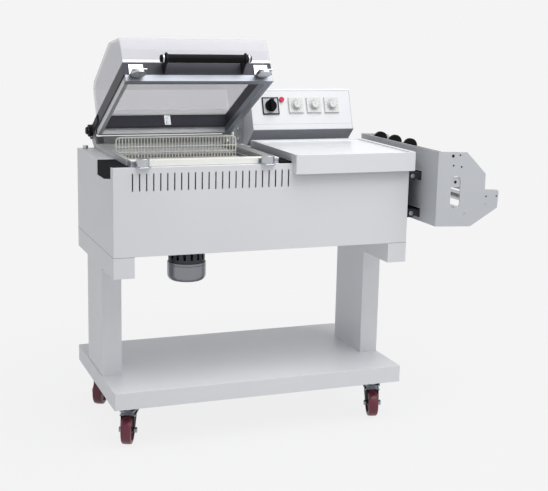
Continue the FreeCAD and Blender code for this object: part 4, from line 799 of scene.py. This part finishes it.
# ------------------------------------------------------------------------------------------- hood
# A line-bent shell of smoked acrylic on a black-coated steel frame. The sealing bars under
# the frame are brushed aluminium; the armature discs that meet the magnets are zinc-plated.
# smoked acrylic: see-through, with a milky tint and a hard gloss that wiping has hazed a little
smoked_acrylic, tree, where = new_finish("smoked_acrylic_sheet")
drift = add(tree, "ShaderNodeTexNoise", {"Scale": 2.2, "Detail": 2.0}, {"Vector": where})
tone = blended(tree, drift.outputs["Fac"], colour("#dcdbe1"), colour("#d4d3da"))
haze = add(tree, "ShaderNodeTexNoise", {"Scale": 40.0, "Detail": 4.0}, {"Vector": where})
span = {"To Min": 0.08, "To Max": 0.16}
gloss = add(tree, "ShaderNodeMapRange", span, {"Value": haze.outputs["Fac"]})
links = {"Base Color": tone, "Roughness": gloss.outputs[0]}
finished(tree, {"Alpha": 0.45, "IOR": 1.49}, links)
eased("hood_shell", [smoked_acrylic], 1.5, steps=3)
hinge = Vector(joints["hood_hinge"]["pos_m"])
opening = math.radians(26.7)
frame_drop = 17.0


def hooded(x, ahead, up):
    """A point on the open hood, given as on the shut one, in millimetres.

    ahead is forward from the hinge, and up is above the frame's underside.
    """
    ahead, up = -ahead * MM, (up - frame_drop) * MM
    cosine, sine = math.cos(-opening), math.sin(-opening)
    y = hinge.y + ahead * cosine - up * sine
    z = hinge.z + ahead * sine + up * cosine
    return Vector((origin.x + x * MM, y, z))


# the shell's front lower edge sits in a smooth white extruded lip; the white strip raised along
# the rear lip is a painted highlight, the bright line seen there
lip_white_and_highlight = moulded("white_lip_and_painted_highlight", "#f3f3f4", "#ebebee", 0.35, 300.0, 0.04)
strip_foot = 38.6
shape = bmesh.new()
slab(shape, hooded, ((53.0, 514.0), (497.1, 498.9), (strip_foot, 47.5)), 0.6)
# the rear strip is a painted highlight along the shell's rear lip
slab(shape, hooded, ((60.0, 507.0), (83.3, 86.5), (strip_foot, 55.0)), 0.8)
lip_strips = closed_mesh("hood_lip_and_highlight_strips", shape, 40.0)
place_piece("hood_lip_and_highlight_strips", lip_strips, [lip_white_and_highlight], "hood")
# graphite coat on the frame, and two aluminium finishes: a brushed bar and a satin skirt
graphite_coat = powder_coat("powder_coat_graphite_black", "#3b3b45", "#35353e", 0.5, 0.3)
eased("hood_frame", [graphite_coat], 0.8)
eased("hood_arms", [black_coat], 0.8)
jaw_bar = metal("brushed_aluminium_sealing_bar", "#999da4", 0.44, 140.0, along_x, 0.1)
eased("upper_jaw", [jaw_bar], 0.6)
skirt_metal = metal("satin_anodised_skirt", "#cdcfd1", 0.52, 140.0, along_y, 0.1)
eased("hood_skirt", [skirt_metal], 0.5)
eased("hood_fittings", [nickel], 0.8)

# ----------------------------------------------------------------------------------------- handle
# A ribbed rubber grip on a steel tube, held by two black slanted brackets; a bright
# turned ring and cap close each end.
# soft rubber: near black and quite matt
soft_rubber = moulded("black_epdm_rubber", "#0d0d10", "#09090b", 0.6, 500.0, 0.15, 0.15)
eased("handle_brackets", [black_coat], 0.6)
grip_low, grip_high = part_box("handle_grip")
grip_centre = (grip_low + grip_high) / 2
half = (grip_high.x - grip_low.x) / 2 / MM
bar = (grip_high.z - grip_low.z) / 2 / MM
handle_axis = (1, 0, 0)
profile = [(0, -half), (bar * 0.5, -half), (bar * 0.82, -half + 1.2)]
profile += [(bar * 0.86, -half + 4.0), (bar * 0.86, -half + 15.0)]
profile += [(radius, -along) for radius, along in reversed(profile)]
shape = bmesh.new()
turned(shape, grip_centre, handle_axis, profile, 40)
tube = closed_mesh("handle_tube", shape)
place_piece("handle_tube", tube, [black_nylon], "hood", ["handle_grip"])
ring_inset = 8.5
profile = [(bar * 0.7, -2.6), (bar * 0.98, -2.2), (bar, -1.4)]
profile += [(radius, -along) for radius, along in reversed(profile)]
shape = bmesh.new()
for side in (-1, 1):
    middle = grip_centre + Vector((side * (half - ring_inset) * MM, 0, 0))
    turned(shape, middle, handle_axis, profile, 40)
place_piece("handle_rings", closed_mesh("handle_rings", shape), [nickel], "hood")
sleeve_inset = 20.5
rib_pitch = 3.0
grip_half = half - sleeve_inset
rib_count = int(grip_half * 2 / rib_pitch)
rib_step = (grip_half * 2 - rib_pitch) / rib_count
profile = [(0, -grip_half), (bar * 0.9, -grip_half), (bar * 0.98, -grip_half + 1.0)]
for k in range(rib_count):
    base = -grip_half + rib_pitch / 2 + k * rib_step
    profile += [(bar * 0.985, base), (bar * 0.94, base + 0.4), (bar * 0.985, base + 0.8)]
profile += [(bar * 0.98, grip_half - 1.0), (bar * 0.9, grip_half), (0, grip_half)]
shape = bmesh.new()
turned(shape, grip_centre, handle_axis, profile, 36)
sleeve = closed_mesh("handle_sleeve", shape, 60.0)
place_piece("handle_sleeve", sleeve, [soft_rubber], "hood")

# ---------------------------------------------------------------------------------- control panel
# The rotary switch has a satin metal plate and a black knob; three round-knob timers sit in
# pale square bezels, and the pilot light has a red prismatic lens.
# moulded ABS is satin and faintly grained; the switch plate is smooth, and the undercut's
# darker coat is painted shade
pale_plastic = moulded("pale_grey_abs", "#d5d6d3", "#cccdca", 0.42, 400.0, 0.05)
plate_grey = powder_coat("satin_anodised_switch_plate", "#b4b7ba", "#acafb3", 0.35)
# painted shade: the case's coat darkened where it faces down under the sloping panel
undercut_shade_coat = powder_coat("console_undercut_painted_shade", "#85888d", "#7c7f85", 0.42)


def console_shade_part(face):
    """The downward-facing undercut below the sloping panel gets a darker coat: painted shade."""
    return 1 if face.normal.z < -0.25 and face.normal.y < -0.2 else 0


switch_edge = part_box("switch_knob")[1].x + 20.0 * MM


def bezel_part(face):
    """The switch's plate is satin grey; the timers' bezels are pale plastic."""
    return 1 if face.calc_center_median().x < switch_edge else 0


eased("console_case", [white_coat, undercut_shade_coat], 1.0, console_shade_part)
eased("control_bezels", [pale_plastic, plate_grey], 0.8, bezel_part)
slope = Vector((0.0, 48.0, 136.0)).normalized()
proud = Vector((0.0, -slope.z, slope.y))


def panel(x, v, lift):
    """A point on the sloping panel: v up the slope from its nose, lift out from its face."""
    return at(x, 430.0, 924.0) + (slope * v + proud * lift) * MM


plate_left, plate_right, plate_foot, plate_head = 625.0, 685.0, 54.0, 114.0
border = 3.5
sides = (plate_foot + border, plate_head - border)
shape = bmesh.new()
for limits in (
    ((plate_left, plate_right), (plate_foot, plate_foot + border)),
    ((plate_left, plate_right), (plate_head - border, plate_head)),
    ((plate_left, plate_left + border), sides),
    ((plate_right - border, plate_right), sides),
):
    slab(shape, panel, (*limits, (0.1, 4.2)), 0.4)
edging = closed_mesh("switch_plate_border", shape, 40.0)
place_piece("switch_plate_border", edging, [black_nylon], "machine")
# flat printed ink, also drawn as painted shade along the case's folds, and a smooth ring round
# each dial
ink_and_fold_shade = moulded("grey_print_and_painted_fold_shade", "#74777b", "#6c6f73", 0.5, 300.0, 0.02)
ring_plastic = moulded("light_grey_dial_ring", "#b2b5b8", "#abaeb1", 0.4, 300.0, 0.04)
dial_left, dial_pitch, dial_up = 749.0, 67.0, 86.0
bezel_face = 6.0
ring = [(15.0, 0.0), (15.0, 1.0), (17.8, 1.0), (18.4, 0.0)]
shape = bmesh.new()
rings = bmesh.new()
for dial in range(3):
    middle = dial_left + dial_pitch * dial
    turned(rings, panel(middle, dial_up, bezel_face), proud, ring, 48)
    for degrees in range(-150, 151, 30):
        cosine, sine = math.cos(math.radians(degrees)), math.sin(math.radians(degrees))

        def tick(a, b, lift):
            """A point on one mark, turned about its dial."""
            return panel(middle + a * cosine + b * sine, dial_up - a * sine + b * cosine, lift)

        slab(shape, tick, ((-0.5, 0.5), (20.0, 23.5), (bezel_face, bezel_face + 0.25)))
# painted shade: fine dark lines along the case's folds at its top, its right end and its nose
fold = (-0.05, 0.12)
slab(shape, panel, ((587.0, 958.0), (137.2, 138.0), fold))
slab(shape, panel, ((955.4, 956.2), (2.0, 137.2), fold))
slab(shape, panel, ((587.0, 955.4), (20.0, 20.5), fold))
marks = closed_mesh("dial_marks_and_fold_shade", shape)
place_piece("dial_marks_and_fold_shade", marks, [ink_and_fold_shade], "machine")
rings = closed_mesh("dial_rings", rings)
place_piece("dial_rings", rings, [ring_plastic], "machine")
eased("switch_knob", [black_nylon], 0.8)
# clear red acrylic over its reflector: a deep colour under a hard gloss
red_lens = moulded("red_acrylic_lens", "#c62748", "#b42040", 0.15, 500.0, 0.3)
eased("indicator_lamp", [red_lens], 0.8)
for node in ("seal_time_knob", "shrink_time_knob", "temperature_knob"):
    eased(node, [pale_plastic], 0.5)

# -------------------------------------------------------------------------------------- film rack
# A folded steel frame, coated mid grey, slides on two C rails; film rolls lie on two steel
# rollers, pass a black tension roller in the slot and the wheels of the perforator above.
# the rack's coat is half a shade darker than the casing's
rack_coat = powder_coat("powder_coat_rack_grey", "#c3c5c8", "#bbbdc1", 0.36)
side_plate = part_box("film_rack_frame")[0].x + 44.5 * MM


def rack_part(face):
    """The runners behind the side plate are blackened; the plates are coated."""
    return 1 if face.calc_center_median().x < side_plate - 4.0 * MM else 0


eased("film_rack_frame", [rack_coat, dark_sheet], 0.6, rack_part)
# The threading slots end in half circles: each corner of a slot gets its rounded filling.
slot_half = 17.0
slot_middle = 1074.0
slot_foot, slot_head = 724.0, 826.0
plate_wall = 3.0
arc_steps = 8
shape = bmesh.new()
for plate in (-99.0, 462.0):
    for end, up in ((slot_foot, 1.0), (slot_head, -1.0)):
        for side in (-1.0, 1.0):
            outline = [(side * slot_half, 0.0)]
            for k in range(arc_steps + 1):
                turn = math.pi / 2 * k / arc_steps
                x, z = side * slot_half * math.cos(turn), up * slot_half * (1 - math.sin(turn))
                outline.append((x, z))
            near, far = (
                [shape.verts.new(at(slot_middle + x, depth, end + z)) for x, z in outline]
                for depth in (plate, plate + plate_wall)
            )
            shape.faces.new(near)
            shape.faces.new(list(reversed(far)))
            for k in range(len(outline)):
                n = (k + 1) % len(outline)
                shape.faces.new((near[k], far[k], far[n], near[n]))
slot_ends = closed_mesh("film_rack_slot_ends", shape)
place_piece("film_rack_slot_ends", slot_ends, [rack_coat], "film_rack")
eased("rack_rails", [dark_sheet], 0.4)
# turned bar: fine rings round each roller and a narrow bright highlight along it
roller_steel = metal("turned_steel_roller", "#c4c6ca", 0.25, 80.0, (10.0, 0.3, 10.0), 0.08)
eased("lower_film_roller", [roller_steel], 0.4)
eased("outer_film_roller", [roller_steel], 0.4)
eased("tension_roller", [black_coat], 0.4)
eased("perforator", [soft_rubber], 1.0)
rail_ends = [at(974, 4, 694), at(974, 4, 815)]
bolts("rail_end_bolts", rail_ends, (0, -1, 0), 8.0, 3.4, 6, zinc, "machine")
screw_height = 1.5
heads = [at(x, 0, z) for x, z in ((1085, 891), (1063, 859), (1092, 854), (1187, 757), (1225, 757))]
for head in heads:
    head.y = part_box("film_rack_frame")[0].y + (screw_height - 0.05) * MM
outward = (0, -1, 0)
name = "rack_end_screws"
bolts(name, heads, outward, 3.4, screw_height, 16, dark_sheet, "film_rack")
